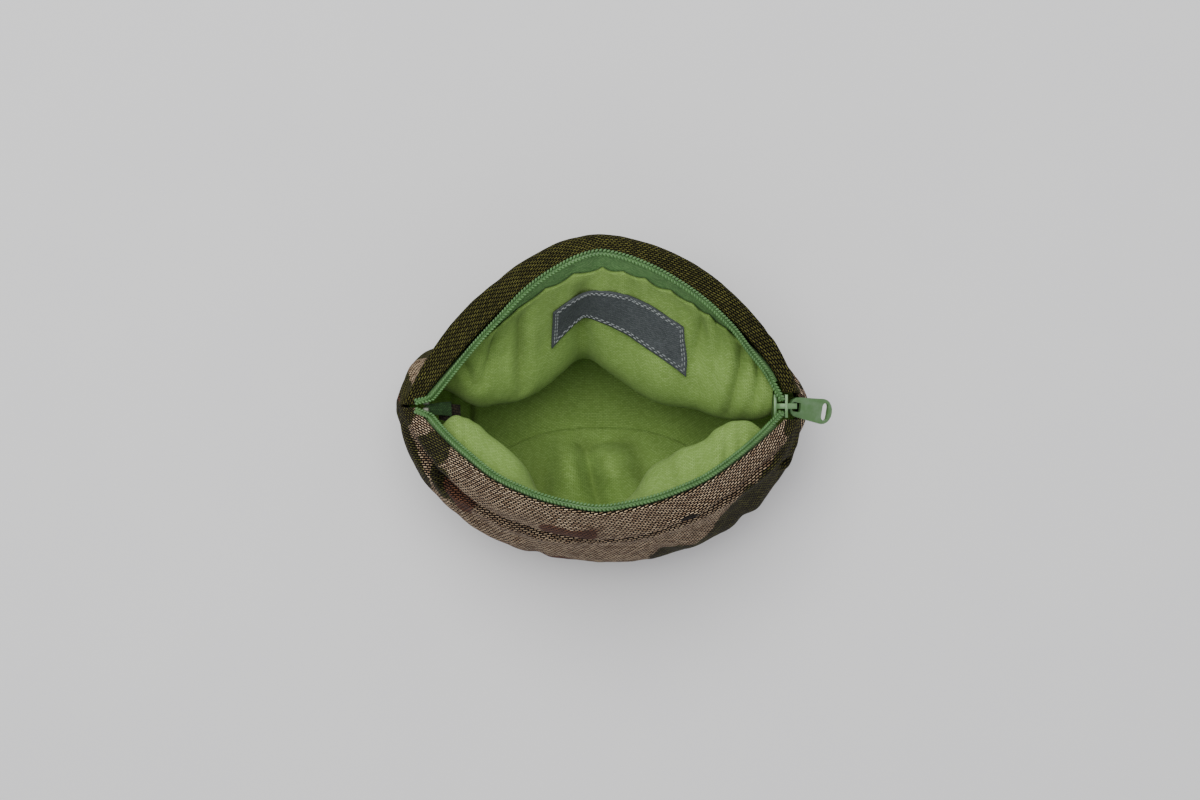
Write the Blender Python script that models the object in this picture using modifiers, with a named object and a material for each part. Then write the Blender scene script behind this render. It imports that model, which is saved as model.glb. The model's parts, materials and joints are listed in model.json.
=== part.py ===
"""A small round zipped cloth pouch that stands with its mouth open.

+X is to the right along the mouth, +Y is to the back, +Z is up, and the origin is the middle of the flat base.
Ways it moves: the pull tab swings on the bridge of the slider. The slider runs on a zip that bends with the cloth,
and the mouth, the faces and the lining change shape by hand, so none of these is a joint.
"""

import math

import bmesh
import bpy
import numpy as np
from mathutils import Matrix, Vector

# Main sizes of the pouch, in metres
WIDTH = 0.146
FRONT_REACH = 0.0645
BACK_REACH = 0.0515
HEIGHT = 0.105

# Cloth, zip and label
CLOTH = 0.0012
LINING = 0.0010
TAPE = 0.0010
GAP = 0.0003
LINING_LOOSE = 0.0040
COIL_WIDTH = 0.0023
TAPE_DEPTH = 0.0110
LINING_EDGE_END = 0.0035
LINING_EDGE_FRONT = 0.0030
LINING_EDGE_BACK = 0.0070
PUFF_FROM = 0.20
LABEL_THICK = 0.0008
LABEL_OFF = 0.0006
LABEL_FROM = 0.0165
LABEL_DEPTH = 0.0165
LABEL_DROOP = 0.0040
LABEL_LEFT = 0.19
LABEL_RIGHT = 0.32

# Ends of the mouth: where the two edges meet, and the slot left between the faces there
ZIP_LINE = -0.0072
LEFT_SLOT = 0.0038
RIGHT_SLOT = 0.0096
END_TURN = 1.35

# Slider and pull tab
SLIDER_WIDTH = 0.0083
SLIDER_LENGTH = 0.0095
PLATE = 0.0010
THROAT = 0.0030
BRIDGE_OUT = 0.0034
BRIDGE_BAR = 0.0009
BRIDGE_WIDTH = 0.0020
TAB_LENGTH = 0.0210
TAB_ROOT = 0.0072
TAB_END = 0.0093
TAB_THICK = 0.0011
TAB_BAR = 0.0011
TAB_YAW = math.radians(9.0)
WINDOW_END = 0.0048
WINDOW_WIDTH = 0.0034
SLOT_IN = 0.0036
SLOT_LONG = 0.0065
SLOT_WIDE = 0.0030
BRIDGE_LENGTH = 0.0074
POST_WIDTH = 0.0019
SLIDER_IN = 0.0081
SLIDER_LEVEL = 0.5476
SLIDER_PLACE = WIDTH / 2 - SLIDER_IN
SLIDER_HEIGHT = HEIGHT * SLIDER_LEVEL
COIL_APART = 0.0024
COIL_LEFT = 0.450
COIL_LEVEL = 0.606
STOP_IN = 0.0032
STOP_LENGTH = 0.0018

# Parts of the slider as shares: the post and the turned edges of the plates
POST_LONG = 0.26
POST_UP = 0.36
EDGE_DEEP = 0.40
EDGE_OUT = 0.35
EDGE_LONG = 0.60
EDGE_DOWN = 0.15
PIVOT_OUT = 0.54

# Strips inside the left zip end. start and end are shares of half the width, drop and end_drop are below the zip
# end, in and end_in are before the zip line, the rest are widths and a bend, in metres.
#                  start   end    drop    end_drop    in    end_in   width  end_width  bend
STRIP_LEVEL = 0.59
TAILS_STRIP = (0.860, 0.740, 0.0022, 0.0082, 0.0010, 0.0010, 0.0035, 0.0055, 0.0008)
END_STRIP = (0.800, 0.700, 0.0077, 0.0126, 0.0020, 0.0030, 0.0060, 0.0070, 0.0006)

# Each face from the mouth down. reach is a share of half the width, out a share of the front or back reach at the
# middle, end and mid are heights at the zip ends and at the middle as shares of the height. bow, left and right
# shape the plan of the section, lift shapes its rise.
#           reach   out    end    mid    bow   left  right  lift
FRONT_SECTIONS = {
    "rim":    (0.904, 0.667, 0.590, 1.000, 2.0, 0.95, 0.95, 0.95),
    "roll":   (0.960, 0.790, 0.567, 0.876, 2.0, 0.80, 0.80, 0.90),
    "valley": (0.982, 0.820, 0.553, 0.743, 2.0, 0.70, 0.70, 0.85),
    "belly":  (0.997, 1.000, 0.535, 0.400, 2.0, 0.50, 0.50, 0.60),
    "low":    (1.000, 0.930, 0.515, 0.162, 2.0, 0.50, 0.50, 0.55),
}
BACK_SECTIONS = {
    "rim":    (0.904, 0.893, 0.590, 0.933, 1.6, 1.12, 0.76, 1.00),
    "roll":   (0.955, 1.000, 0.570, 0.867, 1.8, 0.86, 0.66, 0.90),
    "under":  (0.968, 0.900, 0.560, 0.770, 1.8, 0.86, 0.66, 0.85),
    "slope":  (0.980, 0.560, 0.549, 0.620, 2.0, 0.80, 0.60, 0.70),
    "waist":  (0.992, 0.330, 0.535, 0.440, 2.0, 0.60, 0.60, 0.60),
    "low":    (1.000, 0.350, 0.515, 0.190, 2.0, 0.50, 0.50, 0.55),
}

# The two seams of the gusset from the middle of the base to a zip end. reach is a share of half the width, front and
# back are shares of the front and back reach, up is a share of the height.
#  along  reach  front  back   up
SEAM_STATIONS = (
    (0.00, 0.000, 0.250, 0.370, 0.000),
    (0.25, 0.320, 0.290, 0.370, 0.000),
    (0.45, 0.580, 0.420, 0.370, 0.020),
    (0.62, 0.790, 0.570, 0.330, 0.120),
    (0.78, 0.930, 0.520, 0.240, 0.270),
    (0.90, 0.990, 0.300, 0.080, 0.400),
    (1.00, 0.995, 0.000, 0.000, 0.490),
)
ROLL_LEVELS = ("roll", "under", "valley")
FLOOR_OUT = 0.55
FLOOR_UP = 0.10
GUSSET_CROWN = 0.0025
SEAM_LOOK = 0.10

# Soft bulges (+) and dents (-) of the outer cloth. along runs from -1 at the left zip end to 1 at the right one,
# down from 0 at the mouth to 1 at the seam, wide and deep are the reach of the bulge on the same scales. flat is 2
# for a round bulge and 4 for one with a flat top and steep ends.
#  piece     along  down  wide  deep  flat  push
SHELL_FOLDS = (
    ("back", -0.80, 0.62, 0.16, 0.25, 2.0, 0.0070),
    ("front", -0.55, 0.32, 0.22, 0.10, 2.0, -0.0015),
    ("front", 0.86, 0.45, 0.10, 0.12, 2.0, -0.0015),
    ("front", 0.30, 0.60, 0.25, 0.20, 2.0, 0.0015),
    ("gusset", 0.93, 0.50, 0.09, 0.60, 2.0, 0.0016),
)

# Loose puffs of the lining that lean into the pouch, on the same scales.
LINING_PUFFS = (
    ("back", -0.36, 0.50, 0.27, 0.22, 3.0, 0.0140),
    ("back", 0.42, 0.50, 0.42, 0.22, 4.0, 0.0170),
    ("back", -0.06, 0.50, 0.10, 0.26, 2.0, -0.0060),
    ("front", -0.50, 0.27, 0.25, 0.22, 4.0, 0.0215),
    ("front", 0.44, 0.27, 0.33, 0.22, 4.0, 0.0220),
)

# Meshes: columns and rows of each sheet
COLUMNS = 30
FACE_ROWS = 11
TAPE_ROWS = 3
LINING_LEFT = 3
LINING_RIGHT = 4
GUSSET_CUT = 2
GUSSET_ROWS = 5
COIL_CUT = 2
LABEL_COLUMNS = 12
FINE = 121
FINE_ROWS = 61

# Colours in linear light
OLIVE_CLOTH = (0.050, 0.048, 0.022, 1.0)
SAND_CLOTH = (0.300, 0.215, 0.145, 1.0)
LIME_COTTON = (0.260, 0.420, 0.090, 1.0)
ZIP_GREEN = (0.105, 0.235, 0.065, 1.0)
COIL_GREEN = (0.150, 0.310, 0.095, 1.0)
PAINT_GREEN = (0.110, 0.230, 0.080, 1.0)
STOP_PALE = (0.620, 0.640, 0.560, 1.0)
LABEL_GREY = (0.062, 0.068, 0.068, 1.0)


def spread(along):
    """Share of the half width at a place along the mouth."""
    return np.sin(END_TURN * along) / math.sin(END_TURN)


def end_depth(sign, side):
    """Y of the front (sign -1) or back (sign 1) face at the left (side -1) or right (side 1) zip end."""
    slot = RIGHT_SLOT if side > 0 else LEFT_SLOT
    return ZIP_LINE + sign * slot / 2


def ends_blend(along, sign):
    """Y of the zip end on each side, with the slot widening from left to right along the mouth."""
    share = (along + 1) / 2
    return end_depth(sign, -1) * (1 - share) + end_depth(sign, 1) * share


def arch(place, bow, power):
    """Rises from 0 at either end to 1 in the middle."""
    return (1 - np.minimum(np.abs(place), 1.0) ** bow) ** power


def through(knots, values, at):
    """Smooth line through values at rising knots."""
    values = np.asarray(values, float)
    slopes = np.gradient(values, knots, axis=0)
    i = np.clip(np.searchsorted(knots, at, side="right") - 1, 0, len(knots) - 2)
    span = (knots[i + 1] - knots[i])[:, None]
    f = ((at - knots[i]) / span[:, 0])[:, None]
    near = (1 + 2 * f) * (1 - f) ** 2 * values[i] + f * (1 - f) ** 2 * span * slopes[i]
    return near + f * f * (3 - 2 * f) * values[i + 1] + f * f * (f - 1) * span * slopes[i + 1]


def unit(v):
    """Vectors of length one."""
    return v / np.maximum(np.linalg.norm(v, axis=-1, keepdims=True), 1e-12)


def section(row, sign, along):
    """One level line of a face from the left zip end to the right one."""
    reach, out, end, mid, bow, left, right, lift = row
    place = spread(along)
    power = np.where(place < 0, left, right)
    ends = ends_blend(along, sign)
    middle = sign * out * (FRONT_REACH if sign < 0 else BACK_REACH)
    y = ends + (middle - ends) * arch(place, bow, power)
    z = HEIGHT * (end + (mid - end) * arch(place, 2.0, lift))
    return np.stack([reach * WIDTH / 2 * place, y, z], axis=1)


def seam_line(sign, along):
    """The seam between a face and the gusset."""
    table = np.array(SEAM_STATIONS)
    knots = np.concatenate([-table[:0:-1, 0], table[:, 0]])
    x = np.concatenate([-table[:0:-1, 1], table[:, 1]]) * WIDTH / 2
    share = table[:, 2] * FRONT_REACH if sign < 0 else table[:, 3] * BACK_REACH
    y = sign * np.concatenate([share[:0:-1], share])
    y[0] = end_depth(sign, -1)
    y[-1] = end_depth(sign, 1)
    z = np.concatenate([table[:0:-1, 4], table[:, 4]]) * HEIGHT
    line = through(knots, np.stack([x, y, z], axis=1), along)
    line[:, 2] = np.maximum(line[:, 2], 0.0)
    return line


def smooth_rows(rows, count):
    """Rows evenly spaced down each column of a smooth sheet through the given level lines."""
    rows = np.asarray(rows)
    where = np.linspace(0, len(rows) - 1, 12 * len(rows))
    knots = np.arange(len(rows), dtype=float)
    flat = rows.reshape(len(rows), -1)
    fine = through(knots, flat, where).reshape(len(where), -1, 3)
    steps = np.linalg.norm(np.diff(fine, axis=0), axis=2)
    run = np.vstack([np.zeros(steps.shape[1]), np.cumsum(steps, axis=0)])
    share = np.linspace(0, 1, count)
    out = np.empty((count, fine.shape[1], 3))
    for column in range(fine.shape[1]):
        total = run[-1, column]
        for axis in range(3):
            out[:, column, axis] = np.interp(share * total, run[:, column], fine[:, column, axis])
    return out


class Sheet:
    """A smooth sheet over along (-1 to 1) and down (0 to 1), with its normals."""

    def __init__(self, points):
        """Keeps points of shape along, down, xyz."""
        self.points = points
        along = np.gradient(points, axis=0)
        down = np.gradient(points, axis=1)
        self.normals = unit(np.cross(along, down))
        steps = np.linalg.norm(np.diff(points, axis=1), axis=2)
        self.lengths = steps.sum(axis=1)

    def read(self, field, along, down):
        """A field of the sheet at places along and down, both arrays of one shape."""
        high_i = field.shape[0] - 1
        high_j = field.shape[1] - 1
        a = np.clip((along + 1) / 2, 0, 1) * high_i
        d = np.clip(down, 0, 1) * high_j
        i = np.minimum(a.astype(int), high_i - 1)
        j = np.minimum(d.astype(int), high_j - 1)
        fa = (a - i)[..., None]
        fd = (d - j)[..., None]
        near = field[i, j] * (1 - fd) + field[i, j + 1] * fd
        far = field[i + 1, j] * (1 - fd) + field[i + 1, j + 1] * fd
        return near * (1 - fa) + far * fa

    def length(self, along):
        """Length of the sheet down a column."""
        return np.interp(along, np.linspace(-1, 1, len(self.lengths)), self.lengths)


def bump(along, down, row):
    """Soft round weight of a fold or puff."""
    _, at, depth, wide, deep, flat, _ = row
    return np.exp(-(np.abs((along - at) / wide) ** flat) - ((down - depth) / deep) ** 2)


def places(columns, rows, first=-1.0, last=1.0):
    """Even grid of places along and down."""
    along = np.linspace(first, last, columns + 1)
    down = np.linspace(0, 1, rows + 1)
    return np.meshgrid(along, down, indexing="ij")


def face_sheet(name, sign, lined=False):
    """The outer surface of the front or back face, or a smoother one that its lining follows."""
    along = np.linspace(-1, 1, FINE)
    table = FRONT_SECTIONS if sign < 0 else BACK_SECTIONS
    rows = [section(row, sign, along) for level, row in table.items() if not (lined and level in ROLL_LEVELS)]
    seam = seam_line(sign, along)
    if sign < 0:
        rows.append(seam + (rows[-1] - seam) * np.array([FLOOR_OUT, FLOOR_OUT, FLOOR_UP]))
    rows.append(seam)
    sheet = Sheet(smooth_rows(rows, FINE_ROWS).transpose(1, 0, 2))
    return sheet if lined else pushed(name, sheet, sign)


def pushed(name, sheet, sign):
    """The sheet with the folds of the outer cloth that are named for it."""
    a, d = places(FINE - 1, FINE_ROWS - 1)
    points = sheet.points.copy()
    fade = 1.0 if name == "gusset" else arch(a, 12.0, 1.0)
    for row in SHELL_FOLDS:
        if row[0] == name:
            points += (sign * sheet.normals) * (row[-1] * bump(a, d, row) * fade)[..., None]
    points[..., 2] = np.maximum(points[..., 2], 0.0)
    return Sheet(points)


def gusset_sheet():
    """The outer surface of the strip between the faces, front edge first."""
    along = np.linspace(-1, 1, FINE)
    front = seam_line(-1, along)
    back = seam_line(1, along)
    tangent = unit(np.gradient((front + back) / 2, axis=0))
    out = unit(np.stack([tangent[:, 2], np.zeros(FINE), -tangent[:, 0]], axis=1))
    across = np.linspace(0, 1, FINE_ROWS)
    width = np.linalg.norm(back - front, axis=1)
    crown = np.minimum(GUSSET_CROWN, 0.2 * width)
    points = front[:, None] * (1 - across)[None, :, None] + back[:, None] * across[None, :, None]
    points += out[:, None] * (crown[:, None] * (1 - (2 * across - 1) ** 2)[None])[..., None]
    points[..., 2] = np.maximum(points[..., 2], 0.0)
    return pushed("gusset", Sheet(points), -1)


FACE = {-1: face_sheet("front", -1), 1: face_sheet("back", 1)}
LINER = {-1: face_sheet("front", -1, True), 1: face_sheet("back", 1, True)}
GUSSET = gusset_sheet()


def seam_frame(sign, along):
    """Seam point, direction into the pouch, direction toward the face, and how much the inner corner draws in."""
    edge = np.full(along.shape, 0.0 if sign < 0 else 1.0)
    last = np.full(along.shape, 1.0)
    face = FACE[sign]
    point = face.read(face.points, along, last)
    line = unit(np.gradient(face.points[:, -1], axis=0))
    line = unit(face.read(line[:, None].repeat(2, axis=1), along, last))
    up = face.read(face.points, along, last - SEAM_LOOK) - point
    under = GUSSET.read(GUSSET.points, along, np.abs(edge - SEAM_LOOK)) - point
    face_in = sign * unit(np.cross(line, up))
    strip_in = sign * unit(np.cross(under, line))
    inward = unit(face_in + strip_in)
    side = sign * np.cross(inward, line)
    draw = 1 / np.clip((inward * face_in).sum(axis=-1), 0.6, 1.0)
    return point, inward, unit(side), draw


def ease(x):
    """Smooth step from 0 to 1."""
    x = np.clip(x, 0, 1)
    return x * x * (3 - 2 * x)


def face_inner(sign, along, down, depth, sheet=None):
    """Points of a face at a depth below its outer surface, drawn to the inner corner of the seam."""
    sheet = sheet or FACE[sign]
    point = sheet.read(sheet.points, along, down)
    plain = -sign * sheet.read(sheet.normals, along, down)
    _, inward, _, draw = seam_frame(sign, along[:, 0])
    share = ease((down - 0.45) / 0.55)[..., None]
    way = unit(plain * (1 - share) + inward[:, None] * share)
    return point + way * (depth * (1 + share[..., 0] * (draw[:, None] - 1)))[..., None]


def gusset_inner(along, across, depth):
    """Points of the gusset at a depth below its outer surface, drawn to the inner corners of both seams."""
    point = GUSSET.read(GUSSET.points, along, across)
    plain = GUSSET.read(GUSSET.normals, along, across)
    total = point * 0
    weight_front = ease(1 - across / 0.45)[..., None]
    weight_back = ease((across - 0.55) / 0.45)[..., None]
    _, inward_front, _, draw_front = seam_frame(-1, along[:, 0])
    _, inward_back, _, draw_back = seam_frame(1, along[:, 0])
    total += plain * (1 - weight_front - weight_back)
    total += inward_front[:, None] * weight_front + inward_back[:, None] * weight_back
    draw = 1 + weight_front[..., 0] * (draw_front[:, None] - 1) + weight_back[..., 0] * (draw_back[:, None] - 1)
    return point + unit(total) * (depth * draw)[..., None]


def material(name, colour, metallic, roughness):
    """A Principled material."""
    made = bpy.data.materials.new(name)
    made.use_nodes = True
    shader = made.node_tree.nodes["Principled BSDF"]
    shader.inputs["Base Color"].default_value = colour
    shader.inputs["Metallic"].default_value = metallic
    shader.inputs["Roughness"].default_value = roughness
    made.diffuse_color = colour
    return made


def cloth(name, outer, inner, finish):
    """A sheet of cloth between two grids of points, which share their edge all round."""
    columns, rows = outer.shape[0], outer.shape[1]
    bpy.ops.mesh.primitive_grid_add(x_subdivisions=columns - 1, y_subdivisions=rows - 1, size=1)
    made = bpy.context.object
    made.name = name
    made.data.name = name
    thick = made.modifiers.new("thickness", "SOLIDIFY")
    thick.thickness = 0.1
    bpy.ops.object.modifier_apply(modifier=thick.name)
    both = np.concatenate([outer.transpose(1, 0, 2).reshape(-1), inner.transpose(1, 0, 2).reshape(-1)])
    made.data.vertices.foreach_set("co", both)
    shape = bmesh.new()
    shape.from_mesh(made.data)
    bmesh.ops.recalc_face_normals(shape, faces=shape.faces)
    shape.to_mesh(made.data)
    shape.free()
    made.data.materials.append(finish)
    made.data.shade_smooth()
    keep(made)
    return made


def keep(made):
    """Moves an object into the pouch's collection."""
    for home in list(made.users_collection):
        home.objects.unlink(made)
    bpy.data.collections["round_pouch"].objects.link(made)


def face_places(sign):
    """Grid of a face: close rows down the tape, then even ones to the seam."""
    along = np.linspace(-1, 1, COLUMNS + 1)
    taped = np.minimum(TAPE_DEPTH / FACE[sign].length(along), 0.3)
    near = taped[:, None] * np.linspace(0, 1, TAPE_ROWS + 1)
    far = taped[:, None] + (1 - taped[:, None]) * np.linspace(0, 1, FACE_ROWS - TAPE_ROWS + 1)[1:]
    down = np.concatenate([near, far], axis=1)
    return np.broadcast_to(along[:, None], down.shape).copy(), down


def inner_places(rows, left, right):
    """Even grid on the same columns as the faces, fewer by some columns at the left and right ends."""
    along = np.linspace(-1, 1, COLUMNS + 1)[left : COLUMNS + 1 - right]
    return np.meshgrid(along, np.linspace(0, 1, rows + 1), indexing="ij")


def set_edge(grid, row, sign, along, depth, shift):
    """Puts one row of a grid on the seam plane at a depth, beside the other cloth."""
    point, inward, side, draw = seam_frame(sign, along)
    grid[:, row] = point + inward * (depth * draw)[:, None] + side * shift * GAP / 2


def shell_face(sign, finish):
    """A face of the outer cloth, mitred along the seam."""
    a, d = face_places(sign)
    grids = []
    for depth in (0.0, CLOTH):
        grid = face_inner(sign, a, d, depth)
        set_edge(grid, -1, sign, a[:, 0], depth, 1)
        grid[..., 2] = np.maximum(grid[..., 2], depth)
        grids.append(grid)
    return cloth("shell_front" if sign < 0 else "shell_back", *grids, finish)


def gusset_grid(along, across, depth):
    """A layer of the gusset at a depth, mitred along both seams."""
    grid = gusset_inner(along, across, depth)
    set_edge(grid, 0, -1, along[:, 0], depth, -1)
    set_edge(grid, -1, 1, along[:, 0], depth, -1)
    grid[..., 2] = np.maximum(grid[..., 2], depth)
    return grid


def shell_gusset(finish):
    """The strip of outer cloth between the faces."""
    a, w = inner_places(GUSSET_ROWS, 0, 0)
    return cloth("shell_gusset", gusset_grid(a, w, 0.0), gusset_grid(a, w, CLOTH), finish)


def lining_start(sign, along):
    """Share of the face above the lining's upper edge, where the zip tape shows."""
    middle = LINING_EDGE_FRONT if sign < 0 else LINING_EDGE_BACK
    edge = LINING_EDGE_END + (middle - LINING_EDGE_END) * arch(along, 2.0, 1.0)
    return edge / LINER[sign].length(along)


def lining_points(sign, along, share, depth):
    """A side of a face's lining, with its puffs, at shares of the way down the lining."""
    start = lining_start(sign, along)
    down = start + share * (1 - start)
    points = face_inner(sign, along, down, depth, LINER[sign])
    name = "front" if sign < 0 else "back"
    for row in LINING_PUFFS:
        if row[0] == name:
            points[..., 1] -= sign * row[-1] * bump(along, down, row) * ease(share / PUFF_FROM)
    return points


def lining_face(sign, finish):
    """The lining of a face, sewn close to the tape above and to the seam below, loose between them."""
    a, d = inner_places(FACE_ROWS, LINING_LEFT, LINING_RIGHT)
    top = CLOTH + 3 * GAP + TAPE
    depth = top + (LINING_LOOSE - top) * ease(d / PUFF_FROM)
    depth = depth + (CLOTH + GAP - depth) * ease((d - 0.86) / 0.14)
    hidden = lining_points(sign, a, d, depth)
    way = Sheet(hidden).normals * sign
    way[:, -1] = 0
    seen = hidden - way * LINING
    set_edge(hidden, -1, sign, a[:, 0], CLOTH + GAP, 1)
    set_edge(seen, -1, sign, a[:, 0], CLOTH + GAP + LINING, 1)
    hidden[..., 2] = np.maximum(hidden[..., 2], CLOTH + GAP)
    seen[..., 2] = np.maximum(seen[..., 2], CLOTH + GAP + LINING)
    return cloth("lining_front" if sign < 0 else "lining_back", hidden, seen, finish)


def lining_gusset(finish):
    """The lining of the gusset, mitred along both seams."""
    a, w = inner_places(GUSSET_ROWS, GUSSET_CUT, GUSSET_CUT)
    hidden = gusset_grid(a, w, CLOTH + GAP)
    return cloth("lining_gusset", hidden, gusset_grid(a, w, CLOTH + GAP + LINING), finish)


def tape(sign, finish):
    """The woven zip tape inside one edge of the mouth."""
    a, down = face_places(sign)
    a = a[1:-1, : TAPE_ROWS + 1]
    down = down[1:-1, : TAPE_ROWS + 1]
    outer = face_inner(sign, a, down, CLOTH + 2 * GAP, LINER[sign])
    inner = face_inner(sign, a, down, CLOTH + 2 * GAP + TAPE, LINER[sign])
    return cloth("tape_front" if sign < 0 else "tape_back", outer, inner, finish)


def rim_line(sign, along, depth, rise):
    """A line that follows the edge of the mouth, at a depth below the outer surface and raised above the edge."""
    zero = np.zeros(along.shape)
    point = LINER[sign].read(LINER[sign].points, along, zero)
    below = LINER[sign].read(LINER[sign].points, along, zero + 0.03)
    out = sign * LINER[sign].read(LINER[sign].normals, along, zero)
    line = unit(np.gradient(point, axis=0))
    up = point - below
    up = unit(up - (up * line).sum(axis=1, keepdims=True) * line)
    return point - out * depth + up * rise


def tube(name, line, width, finish):
    """A round closed tube along a line of points."""
    curve = bpy.data.curves.new(name, "CURVE")
    curve.dimensions = "3D"
    curve.bevel_depth = width / 2
    curve.bevel_resolution = 2
    curve.use_fill_caps = True
    spline = curve.splines.new("POLY")
    spline.points.add(len(line) - 1)
    for place, point in zip(spline.points, line):
        place.co = (*point, 1.0)
    made = bpy.data.objects.new(name, curve)
    bpy.data.collections["round_pouch"].objects.link(made)
    curve.materials.append(finish)
    return made


def coil(sign, finish):
    """The nylon coil along one edge of the mouth, from its stop to the throat of the slider."""
    along = np.linspace(-1, 1, COLUMNS + 1)[COIL_CUT:-COIL_CUT]
    line = rim_line(sign, along, CLOTH + 2 * GAP + TAPE / 2, COIL_WIDTH / 2 + GAP)
    top = SLIDER_HEIGHT + SLIDER_LENGTH / 2
    above = (SLIDER_PLACE, ZIP_LINE + sign * COIL_APART * 1.1, top + COIL_WIDTH / 2)
    inside = (SLIDER_PLACE, ZIP_LINE + sign * COIL_APART, top - PLATE)
    line = [left_end(sign), *line, above, inside]
    return tube("coil_front" if sign < 0 else "coil_back", line, COIL_WIDTH, finish)


def left_end(sign):
    """Where a coil ends at the left end of the mouth."""
    return np.array((-WIDTH * COIL_LEFT, ZIP_LINE + sign * COIL_APART * 0.65, HEIGHT * COIL_LEVEL))


def stop(sign, finish):
    """The small stop under the left end of a coil."""
    place = left_end(sign) + np.array((STOP_IN, 0.0, -COIL_WIDTH * 0.75 - STOP_LENGTH / 2))
    size = (COIL_WIDTH, COIL_WIDTH, STOP_LENGTH)
    made = block("stop_front" if sign < 0 else "stop_back", size, place, finish)
    edge = made.modifiers.new("edges", "BEVEL")
    edge.width = COIL_WIDTH / 6
    edge.segments = 1
    return made


def block(name, size, place, finish, helper=False):
    """A box of a size at a place. A helper only shapes another piece."""
    bpy.ops.mesh.primitive_cube_add(size=1, location=place)
    made = bpy.context.object
    made.name = name
    made.data.name = name
    made.data.transform(Matrix.Diagonal((*size, 1)))
    made.data.materials.append(finish)
    keep(made)
    if helper:
        made.hide_render = True
        made.display_type = "WIRE"
        bpy.data.collections["round_pouch"].objects.unlink(made)
        bpy.data.collections["pouch_helpers"].objects.link(made)
    return made


def combine(made, other, operation):
    """Joins a helper to a piece or cuts it away."""
    step = made.modifiers.new(other.name, "BOOLEAN")
    step.operation = operation
    step.solver = "EXACT"
    step.object = other


def slider(finish):
    """The slider at the right end: two plates, a post between their upper ends, turned edges and a bridge."""
    x = SLIDER_PLACE
    z = SLIDER_HEIGHT
    apart = THROAT + PLATE
    plate = (PLATE, SLIDER_WIDTH, SLIDER_LENGTH)
    made = block("slider", plate, (x + apart / 2, ZIP_LINE, z), finish)
    inner = block("inner_plate", plate, (x - apart / 2, ZIP_LINE, z), finish, True)
    combine(made, inner, "UNION")
    post_size = (apart, POST_WIDTH, SLIDER_LENGTH * POST_LONG)
    post_place = (x, ZIP_LINE, z + SLIDER_LENGTH * POST_UP)
    combine(made, block("post", post_size, post_place, finish, True), "UNION")
    for side in (-1, 1):
        for face in (-1, 1):
            size = (apart * EDGE_DEEP, PLATE / 2, SLIDER_LENGTH * EDGE_LONG)
            y = ZIP_LINE + side * (SLIDER_WIDTH - PLATE) / 2
            place = (x + face * apart * EDGE_OUT, y, z - SLIDER_LENGTH * EDGE_DOWN)
            combine(made, block("turned_edge", size, place, finish, True), "UNION")
    face = x + apart / 2 + PLATE / 2
    size = (BRIDGE_OUT + PLATE / 2, BRIDGE_WIDTH, BRIDGE_LENGTH)
    place = (face + BRIDGE_OUT / 2 - PLATE / 4, ZIP_LINE, z)
    combine(made, block("bridge", size, place, finish, True), "UNION")
    size = (BRIDGE_OUT - BRIDGE_BAR, BRIDGE_WIDTH * 2, BRIDGE_LENGTH - 2 * BRIDGE_BAR)
    place = (face + (BRIDGE_OUT - BRIDGE_BAR) / 2, ZIP_LINE, z)
    combine(made, block("bridge_window", size, place, finish, True), "DIFFERENCE")
    return made


def pivot():
    """Middle of the pull tab's root bar, inside the bridge."""
    face = SLIDER_PLACE + THROAT / 2 + PLATE
    return Vector((face + (BRIDGE_OUT - BRIDGE_BAR) * PIVOT_OUT, ZIP_LINE, SLIDER_HEIGHT))


def resting_tilt():
    """How far below level the pull tab hangs when it lies on the cloth of the right side."""
    centre = np.array(pivot())
    way = np.array((math.cos(TAB_YAW), -math.sin(TAB_YAW), 0.0))
    beside = np.array((math.sin(TAB_YAW), math.cos(TAB_YAW), 0.0))
    lowest = math.radians(80)
    for sheet in (GUSSET, FACE[-1], FACE[1]):
        offset = sheet.points.reshape(-1, 3) - centre
        out = offset @ way
        down = -offset[:, 2]
        reach = np.hypot(out, down)
        half = (TAB_ROOT + (TAB_END - TAB_ROOT) * out / TAB_LENGTH) / 2
        under = (np.abs(offset @ beside) < half) & (out > TAB_ROOT / 2) & (reach < TAB_LENGTH)
        if under.any():
            clear = (TAB_THICK / 2 + GAP) / reach[under]
            angle = np.arctan2(down[under], out[under]) - np.arcsin(np.minimum(clear, 1.0))
            lowest = min(lowest, float(angle.min()))
    return lowest


def ring(points, spline):
    """A closed outline from a list of points."""
    spline.points.add(len(points) - 1)
    for place, (x, y) in zip(spline.points, points):
        place.co = (x, y, 0.0, 1.0)
    spline.use_cyclic_u = True


def oval(middle, half_long, half_wide, corner, steps=4):
    """A rounded rectangle in the plane of the tab."""
    points = []
    for turn, (sx, sy) in enumerate(((1, 1), (-1, 1), (-1, -1), (1, -1))):
        for step in range(steps + 1):
            angle = math.pi / 2 * (turn + step / steps)
            x = middle + sx * (half_long - corner) + corner * math.cos(angle)
            points.append((x, sy * (half_wide - corner) + corner * math.sin(angle)))
    return points


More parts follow.
